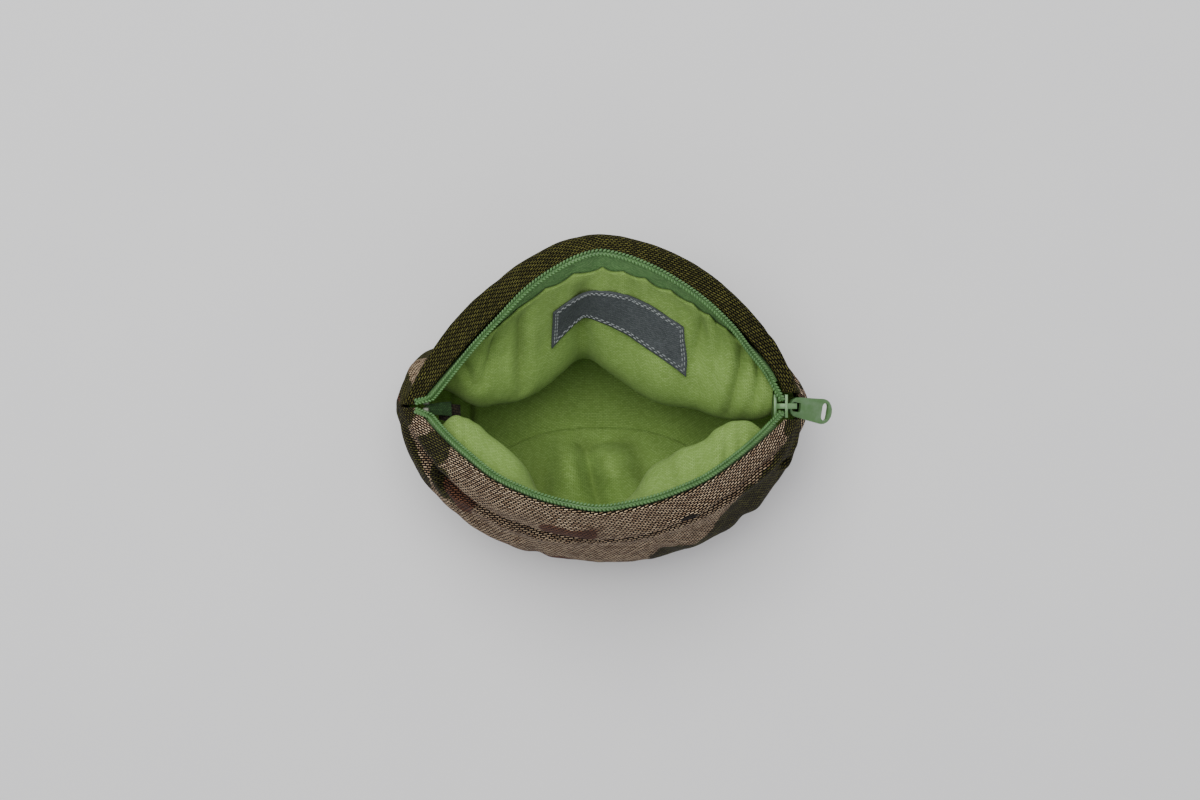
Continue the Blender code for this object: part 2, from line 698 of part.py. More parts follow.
def pull_tab(finish):
    """The pull tab, its root bar on the pivot, lying on the cloth."""
    curve = bpy.data.curves.new("pull_tab", "CURVE")
    curve.dimensions = "2D"
    curve.fill_mode = "BOTH"
    curve.extrude = TAB_THICK / 2
    root = TAB_ROOT / 2
    start = -TAB_BAR / 2 + root
    end = TAB_LENGTH - TAB_BAR / 2 - TAB_END / 2
    outline = []
    for step in range(9):
        angle = math.pi / 2 + math.pi * step / 8
        outline.append((start + root * math.cos(angle), root * math.sin(angle)))
    for step in range(11):
        angle = -math.pi / 2 + math.pi * step / 10
        outline.append((end + TAB_END / 2 * math.cos(angle), TAB_END / 2 * math.sin(angle)))
    ring(outline, curve.splines.new("POLY"))
    window = oval((TAB_BAR / 2 + WINDOW_END) / 2, (WINDOW_END - TAB_BAR / 2) / 2, WINDOW_WIDTH / 2, WINDOW_WIDTH / 4)
    ring(window, curve.splines.new("POLY"))
    slot = oval(TAB_LENGTH - TAB_BAR / 2 - SLOT_IN, SLOT_WIDE / 2, SLOT_LONG / 2, SLOT_WIDE * 0.48)
    ring(slot, curve.splines.new("POLY"))
    made = bpy.data.objects.new("pull_tab", curve)
    bpy.data.collections["round_pouch"].objects.link(made)
    curve.materials.append(finish)
    made.location = pivot()
    made.rotation_euler = (Matrix.Rotation(-TAB_YAW, 4, "Z") @ Matrix.Rotation(resting_tilt(), 4, "Y")).to_euler()
    return made


def flap(name, strip, thickness, finish):
    """A small strip of cloth inside the left zip end, from one middle point to another, bent across its length."""
    start_share, end_share, drop, end_drop, before, end_before, start_width, end_width, bend = strip
    rise = HEIGHT * STRIP_LEVEL
    start = np.array((-start_share * WIDTH / 2, ZIP_LINE - before, rise - drop))
    end = np.array((-end_share * WIDTH / 2, ZIP_LINE - end_before, rise - end_drop))
    way = np.linspace(0, 1, 6)[:, None, None]
    across = np.linspace(-1, 1, 5)[None, :, None]
    line = start + (end - start) * way
    line = line + np.array((0.0, 0.0, 1.0)) * bend * np.sin(math.pi * way)
    width = start_width + (end_width - start_width) * way
    grid = line + np.array((0.0, 1.0, 0.0)) * across * width / 2
    grid = grid - np.array((0.0, 0.0, 1.0)) * bend * across ** 2
    return cloth(name, grid, grid - Sheet(grid).normals * thickness, finish)


def label(finish):
    """The woven label on the back lining, bent over the puffs."""
    a, d = places(LABEL_COLUMNS, 3, -LABEL_LEFT, LABEL_RIGHT)
    start = lining_start(1, a)
    droop = LABEL_DROOP * ((2 * a + LABEL_LEFT - LABEL_RIGHT) / (LABEL_LEFT + LABEL_RIGHT)) ** 2
    down = (LABEL_FROM + droop + d * LABEL_DEPTH) / LINER[1].length(a)
    fine_a, fine_d = places(FINE - 1, FINE_ROWS - 1)
    sheet = Sheet(lining_points(1, fine_a, fine_d, LINING_LOOSE + LINING))
    share = (down - start) / (1 - start)
    points = sheet.read(sheet.points, a, share)
    out = sheet.read(sheet.normals, a, share)
    return cloth("label", points - out * LABEL_OFF, points - out * (LABEL_OFF + LABEL_THICK), finish)


def build():
    """Builds every piece of the pouch."""
    for made in list(bpy.data.objects):
        bpy.data.objects.remove(made, do_unlink=True)
    for name in ("round_pouch", "pouch_helpers"):
        bpy.context.scene.collection.children.link(bpy.data.collections.new(name))
    olive = material("olive_cloth", OLIVE_CLOTH, 0.0, 0.9)
    sand = material("sand_cloth", SAND_CLOTH, 0.0, 0.9)
    lime = material("lime_cotton", LIME_COTTON, 0.0, 0.85)
    green = material("zip_tape", ZIP_GREEN, 0.0, 0.8)
    nylon = material("zip_nylon", COIL_GREEN, 0.0, 0.45)
    paint = material("green_paint", PAINT_GREEN, 0.3, 0.4)
    pale = material("stop_metal", STOP_PALE, 0.6, 0.35)
    grey = material("label_grey", LABEL_GREY, 0.0, 0.85)
    shell_face(-1, sand)
    shell_face(1, olive)
    shell_gusset(sand)
    for sign in (-1, 1):
        lining_face(sign, lime)
        tape(sign, green)
        coil(sign, nylon)
        stop(sign, pale)
    lining_gusset(lime)
    slider(paint)
    pull_tab(paint)
    flap("zip_tails", TAILS_STRIP, TAPE, green)
    flap("end_tab", END_STRIP, CLOTH, olive)
    label(grey)


build()
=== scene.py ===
"""The look of a small round zipped pouch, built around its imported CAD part.

+X is to the right along the mouth, +Y to the back and +Z up. The origin is the middle of the flat base.
"""

import json
import logging
import math
from dataclasses import dataclass
from enum import Enum

import bmesh
import bpy
import numpy as np
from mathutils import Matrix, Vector

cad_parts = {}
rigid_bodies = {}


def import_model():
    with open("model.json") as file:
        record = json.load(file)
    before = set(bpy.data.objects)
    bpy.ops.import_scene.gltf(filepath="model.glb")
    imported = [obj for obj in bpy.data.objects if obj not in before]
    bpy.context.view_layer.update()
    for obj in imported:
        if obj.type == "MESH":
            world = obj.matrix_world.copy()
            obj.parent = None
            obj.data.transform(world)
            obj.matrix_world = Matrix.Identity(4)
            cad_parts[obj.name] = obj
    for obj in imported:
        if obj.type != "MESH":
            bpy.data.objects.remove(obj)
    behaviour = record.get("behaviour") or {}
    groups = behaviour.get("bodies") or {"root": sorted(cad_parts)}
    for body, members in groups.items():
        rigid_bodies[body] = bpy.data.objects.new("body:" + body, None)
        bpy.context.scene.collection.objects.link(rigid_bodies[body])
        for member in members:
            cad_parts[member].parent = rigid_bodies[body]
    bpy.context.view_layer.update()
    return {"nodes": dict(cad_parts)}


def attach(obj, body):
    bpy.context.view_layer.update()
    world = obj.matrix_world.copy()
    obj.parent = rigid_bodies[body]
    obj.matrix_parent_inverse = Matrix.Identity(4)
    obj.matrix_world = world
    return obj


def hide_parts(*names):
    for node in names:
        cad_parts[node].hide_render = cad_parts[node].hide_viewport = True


Array = np.ndarray
Colour = tuple[float, float, float, float]
Object = bpy.types.Object
Material = bpy.types.Material
Tree = bpy.types.NodeTree
Socket = bpy.types.NodeSocket
Node = bpy.types.Node


class Side(Enum):
    """The two faces of the pouch. The value is the sign of Y on that side."""

    FRONT = -1
    BACK = 1


@dataclass(frozen=True)
class PouchSizes:
    """Sizes of the pouch and of its layers, in metres."""

    width: float = 0.146
    front_reach: float = 0.0645
    back_reach: float = 0.0515
    height: float = 0.105
    cloth: float = 0.0012
    lining: float = 0.0010
    tape: float = 0.0010
    gap: float = 0.0003
    lining_loose: float = 0.0040
    coil_width: float = 0.0023
    tape_depth: float = 0.0110
    zip_line: float = -0.0072
    left_slot: float = 0.0010
    right_slot: float = 0.0096
    end_turn: float = 1.35
    gusset_crown: float = 0.0025
    half_zip: float = 0.090

    @property
    def tape_under(self) -> float:
        """Depth of the tape's hidden side below the outer surface."""
        return self.cloth + 2 * self.gap

    @property
    def lining_under(self) -> float:
        """Depth of the lining's hidden side at the seams."""
        return self.cloth + self.gap


@dataclass(frozen=True)
class Level:
    """One level line of a face, as shares of the pouch's sizes."""

    reach: float
    out: float
    end: float
    mid: float
    bow: float
    left: float
    right: float
    lift: float
    roll: bool = False


@dataclass(frozen=True)
class Station:
    """One place on the gusset's two seams, from the middle of the base to a zip end, as shares."""

    along: float
    reach: float
    front: float
    back: float
    up: float


@dataclass(frozen=True)
class Fold:
    """A soft bulge (+) or dent (-) of one piece of cloth. push is in metres, flat is 4 for a flat top."""

    piece: str
    along: float
    down: float
    wide: float
    deep: float
    push: float
    flat: float = 2.0

    def weight(self, along: Array, down: Array) -> Array:
        """Soft round weight of the fold at each place."""
        away = np.abs((along - self.along) / self.wide) ** self.flat
        return np.exp(-away - ((down - self.down) / self.deep) ** 2)


@dataclass(frozen=True)
class Crease:
    """A narrow groove of one piece of cloth, from one place to another. wide and deep are in metres."""

    piece: str
    along: float
    down: float
    to_along: float
    to_down: float
    wide: float
    deep: float


@dataclass(frozen=True)
class Blotch:
    """A soft patch of one printed tone on one piece of cloth."""

    piece: str
    tone: str
    along: float
    down: float
    wide: float
    deep: float


LEVELS: dict[Side, tuple[Level, ...]] = {
    Side.FRONT: (
        Level(0.904, 0.667, 0.590, 1.000, 2.0, 0.95, 0.95, 0.95),
        Level(0.960, 0.790, 0.567, 0.876, 2.0, 0.80, 0.80, 0.90, True),
        Level(0.982, 0.820, 0.553, 0.743, 2.0, 0.70, 0.70, 0.85, True),
        Level(0.997, 1.000, 0.535, 0.400, 2.0, 0.50, 0.50, 0.60),
        Level(1.000, 0.930, 0.515, 0.162, 2.0, 0.50, 0.50, 0.55),
    ),
    Side.BACK: (
        Level(0.904, 0.893, 0.590, 0.933, 1.6, 1.12, 0.76, 1.00),
        Level(0.955, 1.000, 0.570, 0.867, 1.8, 0.86, 0.66, 0.90, True),
        Level(0.968, 0.900, 0.560, 0.770, 1.8, 0.86, 0.66, 0.85, True),
        Level(0.980, 0.560, 0.549, 0.620, 2.0, 0.80, 0.60, 0.70),
        Level(0.992, 0.330, 0.535, 0.440, 2.0, 0.60, 0.60, 0.60),
        Level(1.000, 0.350, 0.515, 0.190, 2.0, 0.50, 0.50, 0.55),
    ),
}
STATIONS = (
    Station(0.00, 0.000, 0.250, 0.370, 0.000),
    Station(0.25, 0.320, 0.290, 0.370, 0.000),
    Station(0.45, 0.580, 0.420, 0.370, 0.020),
    Station(0.62, 0.790, 0.570, 0.330, 0.120),
    Station(0.78, 0.930, 0.520, 0.240, 0.270),
    Station(0.90, 0.990, 0.300, 0.080, 0.400),
    Station(1.00, 0.995, 0.000, 0.000, 0.490),
)
SHELL_FOLDS = (
    Fold("back", -0.80, 0.62, 0.16, 0.25, 0.0070),
    Fold("front", -0.55, 0.32, 0.22, 0.10, -0.0015),
    Fold("front", 0.86, 0.45, 0.10, 0.12, -0.0015),
    Fold("front", 0.30, 0.60, 0.25, 0.20, 0.0015),
    Fold("gusset", 0.93, 0.50, 0.09, 0.60, 0.0016),
)
LINING_PUFFS = (
    Fold("back", -0.36, 0.50, 0.27, 0.22, 0.0140, 3.0),
    Fold("back", 0.42, 0.50, 0.42, 0.22, 0.0170, 4.0),
    Fold("back", -0.06, 0.50, 0.10, 0.26, -0.0060),
    Fold("front", -0.50, 0.27, 0.25, 0.22, 0.0215, 4.0),
    Fold("front", 0.44, 0.27, 0.33, 0.22, 0.0220, 4.0),
)
LINING_SWELLS = (
    Fold("front", -0.130, 0.84, 0.070, 0.10, 0.0085),
    Fold("front", 0.060, 0.87, 0.090, 0.08, 0.0080),
    Fold("front", 0.140, 0.80, 0.100, 0.09, 0.0035),
    Fold("front", -0.300, 0.86, 0.070, 0.09, 0.0030),
    Fold("back", -0.40, 0.30, 0.10, 0.14, 0.0020),
    Fold("back", 0.22, 0.34, 0.09, 0.16, 0.0018),
)
CREASES = (
    Crease("front", -0.92, 0.27, -0.38, 0.24, 0.0038, 0.0026),
    Crease("front", -0.44, 0.235, 0.12, 0.19, 0.0038, 0.0026),
    Crease("front", 0.04, 0.19, 0.46, 0.145, 0.0038, 0.0026),
    Crease("front", 0.40, 0.15, 0.86, 0.16, 0.0028, 0.0024),
    Crease("front", 0.78, 0.33, 0.93, 0.60, 0.0012, 0.0018),
    Crease("front", -0.72, 0.14, -0.60, 0.42, 0.0020, 0.0008),
    Crease("front", 0.50, 0.30, 0.62, 0.62, 0.0030, 0.0012),
    Crease("front", -0.28, 0.30, -0.20, 0.60, 0.0034, 0.0010),
    Crease("front", 0.20, 0.36, 0.30, 0.50, 0.0030, 0.0009),
    Crease("back", -0.55, 0.22, -0.20, 0.30, 0.0022, 0.0008),
    Crease("back", 0.15, 0.26, 0.60, 0.20, 0.0024, 0.0009),
    Crease("back", 0.72, 0.10, 0.80, 0.40, 0.0018, 0.0009),
    Crease("gusset", -0.96, 0.50, -0.70, 0.30, 0.0014, 0.0007),
    Crease("gusset", 0.78, 0.20, 0.95, 0.55, 0.0014, 0.0008),
    Crease("lining_back", -0.33, 0.03, -0.30, 0.40, 0.0024, 0.0022),
    Crease("lining_back", -0.44, 0.05, -0.46, 0.30, 0.0020, 0.0014),
    Crease("lining_back", -0.08, 0.06, -0.06, 0.55, 0.0034, 0.0018),
    Crease("lining_back", 0.62, 0.03, 0.52, 0.40, 0.0024, 0.0020),
    Crease("lining_back", 0.70, 0.03, 0.66, 0.30, 0.0020, 0.0014),
    Crease("lining_back", 0.42, 0.05, 0.36, 0.28, 0.0022, 0.0012),
    Crease("lining_back", -0.62, 0.08, -0.50, 0.30, 0.0020, 0.0012),
    Crease("lining_front", -0.30, 0.10, -0.16, 0.45, 0.0028, 0.0014),
    Crease("lining_front", 0.32, 0.10, 0.18, 0.45, 0.0028, 0.0014),
    Crease("lining_front", -0.08, 0.98, 0.02, 0.72, 0.0034, 0.0034),
    Crease("lining_front", 0.13, 0.96, 0.20, 0.80, 0.0050, 0.0020),
    Crease("lining_front", -0.27, 0.97, -0.23, 0.76, 0.0060, 0.0024),
    Crease("lining_front", -0.12, 0.95, 0.13, 0.96, 0.0028, 0.0020),
    Crease("lining_gusset", -0.54, -0.20, -0.52, 1.20, 0.0012, 0.0006),
    Crease("lining_gusset", -0.63, -0.20, -0.61, 1.20, 0.0012, 0.0003),
)
BLOTCHES = (
    Blotch("front", "olive", -0.98, 0.35, 0.11, 0.45),
    Blotch("front", "olive", -0.74, 0.13, 0.08, 0.14),
    Blotch("front", "olive", -0.65, 0.30, 0.07, 0.14),
    Blotch("front", "olive", -0.86, 0.54, 0.15, 0.18),
    Blotch("front", "olive", 0.82, 0.42, 0.36, 0.22),
    Blotch("front", "olive", 0.52, 0.50, 0.34, 0.16),
    Blotch("front", "olive", 0.97, 0.45, 0.07, 0.40),
    Blotch("front", "olive", -0.30, 0.90, 0.30, 0.08),
    Blotch("front", "rust", -0.57, 0.30, 0.07, 0.08),
    Blotch("front", "rust", -0.10, 0.13, 0.13, 0.05),
    Blotch("front", "rust", -0.15, 0.50, 0.10, 0.06),
    Blotch("front", "leaf", 0.31, 0.11, 0.034, 0.016),
    Blotch("gusset", "olive", -0.80, 0.40, 0.22, 0.70),
    Blotch("gusset", "olive", -1.00, 0.50, 0.12, 1.20),
    Blotch("gusset", "olive", 0.40, 0.60, 0.20, 0.50),
    Blotch("gusset", "olive", 0.86, 0.60, 0.12, 0.70),
    Blotch("gusset", "rust", -0.35, 0.40, 0.10, 0.35),
    Blotch("back", "sand", -0.77, 0.42, 0.07, 0.24),
    Blotch("back", "sand", 0.30, 0.85, 0.16, 0.08),
    Blotch("back", "rust", -0.40, 0.80, 0.12, 0.06),
)
TONES = ("olive", "rust", "leaf", "sand")


def unit(vectors: Array) -> Array:
    """Vectors of length one."""
    return vectors / np.maximum(np.linalg.norm(vectors, axis=-1, keepdims=True), 1e-12)


def ease(share: Array) -> Array:
    """Smooth step from 0 to 1."""
    share = np.clip(share, 0, 1)
    return share * share * (3 - 2 * share)


def arch(place: Array, bow: float, power: Array | float) -> Array:
    """Rises from 0 at either end to 1 in the middle."""
    return (1 - np.minimum(np.abs(place), 1.0) ** bow) ** power


def through(knots: Array, values: Array, at: Array) -> Array:
    """Reads a smooth line through values.

    Args:
        knots: Rising places of the values.
        values: Rows of numbers, one row at each knot.
        at: Places to read.

    Returns:
        One row for each place.
    """
    values = np.asarray(values, float)
    slopes = np.gradient(values, knots, axis=0)
    i = np.clip(np.searchsorted(knots, at, side="right") - 1, 0, len(knots) - 2)
    span = (knots[i + 1] - knots[i])[:, None]
    f = ((at - knots[i]) / span[:, 0])[:, None]
    near = (1 + 2 * f) * (1 - f) ** 2 * values[i] + f * (1 - f) ** 2 * span * slopes[i]
    return near + f * f * (3 - 2 * f) * values[i + 1] + f * f * (f - 1) * span * slopes[i + 1]


def resampled(line: Array, pitch: float) -> Array:
    """Points at an even pitch along a line of points."""
    run = np.concatenate([[0.0], np.cumsum(np.linalg.norm(np.diff(line, axis=0), axis=1))])
    places = np.arange(0.0, run[-1], pitch)
    return np.stack([np.interp(places, run, line[:, axis]) for axis in range(3)], axis=1)


class Noise:
    """Smooth seeded noise over two running coordinates, from about -1 to 1."""

    SIZE = 64

    def __init__(self, seed: int) -> None:
        """Draws the table of values for a seed."""
        self.values = np.random.default_rng(seed).uniform(-1, 1, (self.SIZE, self.SIZE))

    def at(self, x: Array, y: Array) -> Array:
        """Noise at places x and y, with features about one unit across.

        Args:
            x: First coordinate of each place.
            y: Second coordinate, of the same shape.

        Returns:
            The values.
        """
        i = np.floor(x).astype(int)
        j = np.floor(y).astype(int)
        fx = ease(x - i)
        fy = ease(y - j)
        i0, i1, j0, j1 = i % self.SIZE, (i + 1) % self.SIZE, j % self.SIZE, (j + 1) % self.SIZE
        low = self.values[i0, j0] * (1 - fx) + self.values[i1, j0] * fx
        high = self.values[i0, j1] * (1 - fx) + self.values[i1, j1] * fx
        return low * (1 - fy) + high * fy


def grid_places(first: float, last: float, columns: int, rows: int) -> tuple[Array, Array]:
    """Places along, from first to last, and down, from 0 to 1, of a grid with so many cells each way."""
    return np.meshgrid(np.linspace(first, last, columns + 1), np.linspace(0, 1, rows + 1), indexing="ij")


class Surface:
    """A smooth surface over along and down (0 to 1), with its normals."""

    def __init__(self, points: Array, first: float = -1.0, last: float = 1.0) -> None:
        """Keeps a grid of points.

        Args:
            points: Shape (along, down, xyz).
            first: Place along of the first column.
            last: Place along of the last column.
        """
        self.points = points
        self.first = first
        self.last = last
        self.normals = unit(np.cross(np.gradient(points, axis=0), np.gradient(points, axis=1)))
        self.lengths = np.linalg.norm(np.diff(points, axis=1), axis=2).sum(axis=1)

    def read(self, values: Array, along: Array, down: Array) -> Array:
        """Reads a grid of values at places along and down, both arrays of one shape.

        Args:
            values: A grid of values over the surface.
            along: Places along, from -1 at the left end to 1 at the right.
            down: Places down, of the same shape.

        Returns:
            The value at each place.
        """
        high_i, high_j = values.shape[0] - 1, values.shape[1] - 1
        a = np.clip((along - self.first) / (self.last - self.first), 0, 1) * high_i
        d = np.clip(down, 0, 1) * high_j
        i = np.minimum(a.astype(int), high_i - 1)
        j = np.minimum(d.astype(int), high_j - 1)
        fa, fd = (a - i)[..., None], (d - j)[..., None]
        near = values[i, j] * (1 - fd) + values[i, j + 1] * fd
        far = values[i + 1, j] * (1 - fd) + values[i + 1, j + 1] * fd
        return near * (1 - fa) + far * fa

    def length(self, along: Array) -> Array:
        """Length of the surface down a column."""
        return np.interp(along, np.linspace(self.first, self.last, len(self.lengths)), self.lengths)

    def flat_places(self) -> Array:
        """Real distances along and down the cloth at each point, in metres, for its weave."""
        row = self.points[:, self.points.shape[1] // 3]
        run = np.concatenate([[0.0], np.cumsum(np.linalg.norm(np.diff(row, axis=0), axis=1))])
        steps = np.linalg.norm(np.diff(self.points, axis=1), axis=2)
        fall = np.concatenate([np.zeros((len(steps), 1)), np.cumsum(steps, axis=1)], axis=1)
        return np.stack([np.broadcast_to(run[:, None], fall.shape), fall], axis=2)

    def cut(self) -> tuple[float, float]:
        """Width and length of the cut cloth: the longest way along and down the surface, in metres."""
        along = np.linalg.norm(np.diff(self.points, axis=0), axis=2).sum(axis=0).max()
        return float(along), float(self.lengths.max())


class PouchShape:
    """The smooth surfaces of the pouch that every piece of cloth follows."""

    COLUMNS = 361
    ROWS = 161
    SEAM_LOOK = 0.10
    FLOOR = np.array([0.55, 0.55, 0.10])
    EDGE_WAVE = 0.0005
    CREASE_END = 0.12
    LIP = 0.45
    LIP_AWAY = 1.9

    def __init__(self, sizes: PouchSizes) -> None:
        """Works out the outer faces, the smoother ones that the lining follows, and the gusset."""
        self.sizes = sizes
        self.noise = Noise(11)
        self.faces = {side: self.face(side, False) for side in Side}
        self.liners = {side: self.face(side, True) for side in Side}
        self.gusset = self.gusset_surface()

    def end_depth(self, side: Side, right: bool) -> float:
        """Y of a face at the left or right zip end."""
        slot = self.sizes.right_slot if right else self.sizes.left_slot
        return self.sizes.zip_line + side.value * slot / 2

    def section(self, level: Level, side: Side, along: Array) -> Array:
        """Points of one level line of a face, from the left zip end to the right one.

        Args:
            level: The level line.
            side: The front or the back.
            along: Places along, from -1 at the left end to 1 at the right.

        Returns:
            One point for each place.
        """
        sizes = self.sizes
        place = np.sin(sizes.end_turn * along) / math.sin(sizes.end_turn)
        power = np.where(place < 0, level.left, level.right)
        share = (along + 1) / 2
        ends = self.end_depth(side, False) * (1 - share) + self.end_depth(side, True) * share
        middle = side.value * level.out * (sizes.front_reach if side is Side.FRONT else sizes.back_reach)
        y = ends + (middle - ends) * arch(place, level.bow, power)
        z = sizes.height * (level.end + (level.mid - level.end) * arch(place, 2.0, level.lift))
        return np.stack([level.reach * sizes.width / 2 * place, y, z], axis=1)

    def seam_line(self, side: Side, along: Array) -> Array:
        """Points of the seam between a face and the gusset.

        Args:
            side: The front or the back.
            along: Places along, from -1 at the left end to 1 at the right.

        Returns:
            One point for each place.
        """
        sizes = self.sizes
        knots = np.array([station.along for station in STATIONS])
        reach = np.array([station.reach for station in STATIONS]) * sizes.width / 2
        front = np.array([station.front for station in STATIONS]) * sizes.front_reach
        back = np.array([station.back for station in STATIONS]) * sizes.back_reach
        up = np.array([station.up for station in STATIONS]) * sizes.height
        out = front if side is Side.FRONT else back
        y = side.value * np.concatenate([out[:0:-1], out])
        y[0], y[-1] = self.end_depth(side, False), self.end_depth(side, True)
        x = np.concatenate([-reach[:0:-1], reach])
        z = np.concatenate([up[:0:-1], up])
        line = through(np.concatenate([-knots[:0:-1], knots]), np.stack([x, y, z], axis=1), along)
        line[:, 2] = np.maximum(line[:, 2], 0.0)
        return line

    def smooth_rows(self, rows: list[Array]) -> Array:
        """Evenly spaced rows down each column of a smooth surface through the level lines."""
        stack = np.asarray(rows)
        where = np.linspace(0, len(rows) - 1, 24 * len(rows))
        fine = through(np.arange(len(rows), dtype=float), stack.reshape(len(rows), -1), where)
        fine = fine.reshape(len(where), -1, 3)
        steps = np.linalg.norm(np.diff(fine, axis=0), axis=2)
        run = np.vstack([np.zeros(steps.shape[1]), np.cumsum(steps, axis=0)])
        share = np.linspace(0, 1, self.ROWS)
        made = np.empty((self.ROWS, fine.shape[1], 3))
        for column in range(fine.shape[1]):
            for axis in range(3):
                places = share * run[-1, column]
                made[:, column, axis] = np.interp(places, run[:, column], fine[:, column, axis])
        return made

    def grid(self) -> tuple[Array, Array]:
        """Places along and down of the shape's own grid."""
        return grid_places(-1, 1, self.COLUMNS - 1, self.ROWS - 1)

    def face(self, side: Side, lined: bool) -> Surface:
        """The outer surface of a face, or the smoother one that its lining, tape and coil follow.

        Args:
            side: The front or the back.
            lined: True for the smoother surface.

        Returns:
            The surface.
        """
        along = np.linspace(-1, 1, self.COLUMNS)
        rows = [self.section(level, side, along) for level in LEVELS[side] if not (lined and level.roll)]
        seam = self.seam_line(side, along)
        if side is Side.FRONT:
            rows.append(seam + (rows[-1] - seam) * self.FLOOR)
        rows.append(seam)
        surface = Surface(self.smooth_rows(rows).transpose(1, 0, 2))
        a, d = self.grid()
        wave = self.EDGE_WAVE * self.noise.at(a * 7 + 20, a * 0 + side.value * 5.5)
        wave = wave * np.exp(-d / 0.15) * arch(a, 8, 1.0)
        points = surface.points + side.value * surface.normals * wave[..., None]
        surface = Surface(points)
        return surface if lined else self.folded(side.name.lower(), surface, side.value)

    def folded(self, name: str, surface: Surface, sign: int) -> Surface:
        """The surface with the soft folds that are named for it.

        Args:
            name: The piece that the folds are named for.
            surface: The smooth surface.
            sign: 1 or -1, which turns the surface's normals to the outside.

        Returns:
            The folded surface.
        """
        a, d = self.grid()
        points = surface.points.copy()
        fade = 1.0 if name == "gusset" else arch(a, 12.0, 1.0)
        for fold in SHELL_FOLDS:
            if fold.piece == name:
                points += sign * surface.normals * (fold.push * fold.weight(a, d) * fade)[..., None]
        points[..., 2] = np.maximum(points[..., 2], 0.0)
        return Surface(points)

    def gusset_surface(self) -> Surface:
        """The outer surface of the strip between the faces, front edge first."""
        along = np.linspace(-1, 1, self.COLUMNS)
        front, back = self.seam_line(Side.FRONT, along), self.seam_line(Side.BACK, along)
        tangent = unit(np.gradient((front + back) / 2, axis=0))
        out = unit(np.stack([tangent[:, 2], np.zeros(len(along)), -tangent[:, 0]], axis=1))
        across = np.linspace(0, 1, self.ROWS)
        crown = np.minimum(self.sizes.gusset_crown, 0.2 * np.linalg.norm(back - front, axis=1))
        points = front[:, None] * (1 - across)[None, :, None] + back[:, None] * across[None, :, None]
        points += out[:, None] * (crown[:, None] * (1 - (2 * across - 1) ** 2)[None])[..., None]
        points[..., 2] = np.maximum(points[..., 2], 0.0)
        return self.folded("gusset", Surface(points), -1)

    def seam_frame(self, side: Side, along: Array) -> tuple[Array, Array, Array]:
        """The seam of a face.

        Args:
            side: The face.
            along: Places along the seam.

        Returns:
            Points of the seam, directions into the pouch, and how much the inner corner draws in.
        """
        sign = side.value
        edge = np.full(along.shape, 0.0 if side is Side.FRONT else 1.0)
        last = np.ones(along.shape)
        face, gusset = self.faces[side], self.gusset
        point = face.read(face.points, along, last)
        line = unit(np.gradient(face.points[:, -1], axis=0))
        line = unit(face.read(line[:, None].repeat(2, axis=1), along, last))
        up = face.read(face.points, along, last - self.SEAM_LOOK) - point
        under = gusset.read(gusset.points, along, np.abs(edge - self.SEAM_LOOK)) - point
        face_in = sign * unit(np.cross(line, up))
        strip_in = sign * unit(np.cross(under, line))
        inward = unit(face_in + strip_in)
        draw = 1 / np.clip((inward * face_in).sum(axis=-1), 0.6, 1.0)
        return point, inward, draw

    def below_face(
        self, side: Side, along: Array, down: Array, depth: Array | float, lined: bool = False
    ) -> Array:
        """Points of a face at a depth below its outer surface, drawn to the inner corner of the seam.

        Args:
            side: The face.
            along: Places along, one column for each place.
            down: Places down, of the same shape.
            depth: Depth below the outer surface, in metres.
            lined: Whether to follow the smoother surface of the lining.

        Returns:
            Points of the same shape.
        """
        surface = self.liners[side] if lined else self.faces[side]
        point = surface.read(surface.points, along, down)
        plain = -side.value * surface.read(surface.normals, along, down)
        _, inward, draw = self.seam_frame(side, along[:, 0])
        share = ease((down - 0.45) / 0.55)[..., None]
        way = unit(plain * (1 - share) + inward[:, None] * share)
        return point + way * (depth * (1 + share[..., 0] * (draw[:, None] - 1)))[..., None]

    def below_gusset(self, along: Array, across: Array, depth: float) -> Array:
        """Points of the gusset at a depth below its outer surface, mitred along both seams.

        Args:
            along: Places along, from -1 at the left end to 1 at the right.
            across: Places across, from 0 at the front seam to 1 at the back one.
            depth: The depth, in metres.

        Returns:
            A grid of points.
        """
        point = self.gusset.read(self.gusset.points, along, across)
        plain = self.gusset.read(self.gusset.normals, along, across)
        front, back = ease(1 - across / 0.45)[..., None], ease((across - 0.55) / 0.45)[..., None]
        _, inward_front, draw_front = self.seam_frame(Side.FRONT, along[:, 0])
        _, inward_back, draw_back = self.seam_frame(Side.BACK, along[:, 0])
        total = plain * (1 - front - back) + inward_front[:, None] * front + inward_back[:, None] * back
        draw = 1 + front[..., 0] * (draw_front[:, None] - 1) + back[..., 0] * (draw_back[:, None] - 1)
        grid = point + unit(total) * (depth * draw)[..., None]
        self.set_edge(grid, 0, Side.FRONT, along[:, 0], depth)
        self.set_edge(grid, -1, Side.BACK, along[:, 0], depth)
        return grid

    def set_edge(self, grid: Array, row: int, side: Side, along: Array, depth: float) -> None:
        """Puts one row of a grid on the seam at a depth, so that the two cloths meet."""
        point, inward, draw = self.seam_frame(side, along)
        grid[:, row] = point + inward * (depth * draw)[:, None]

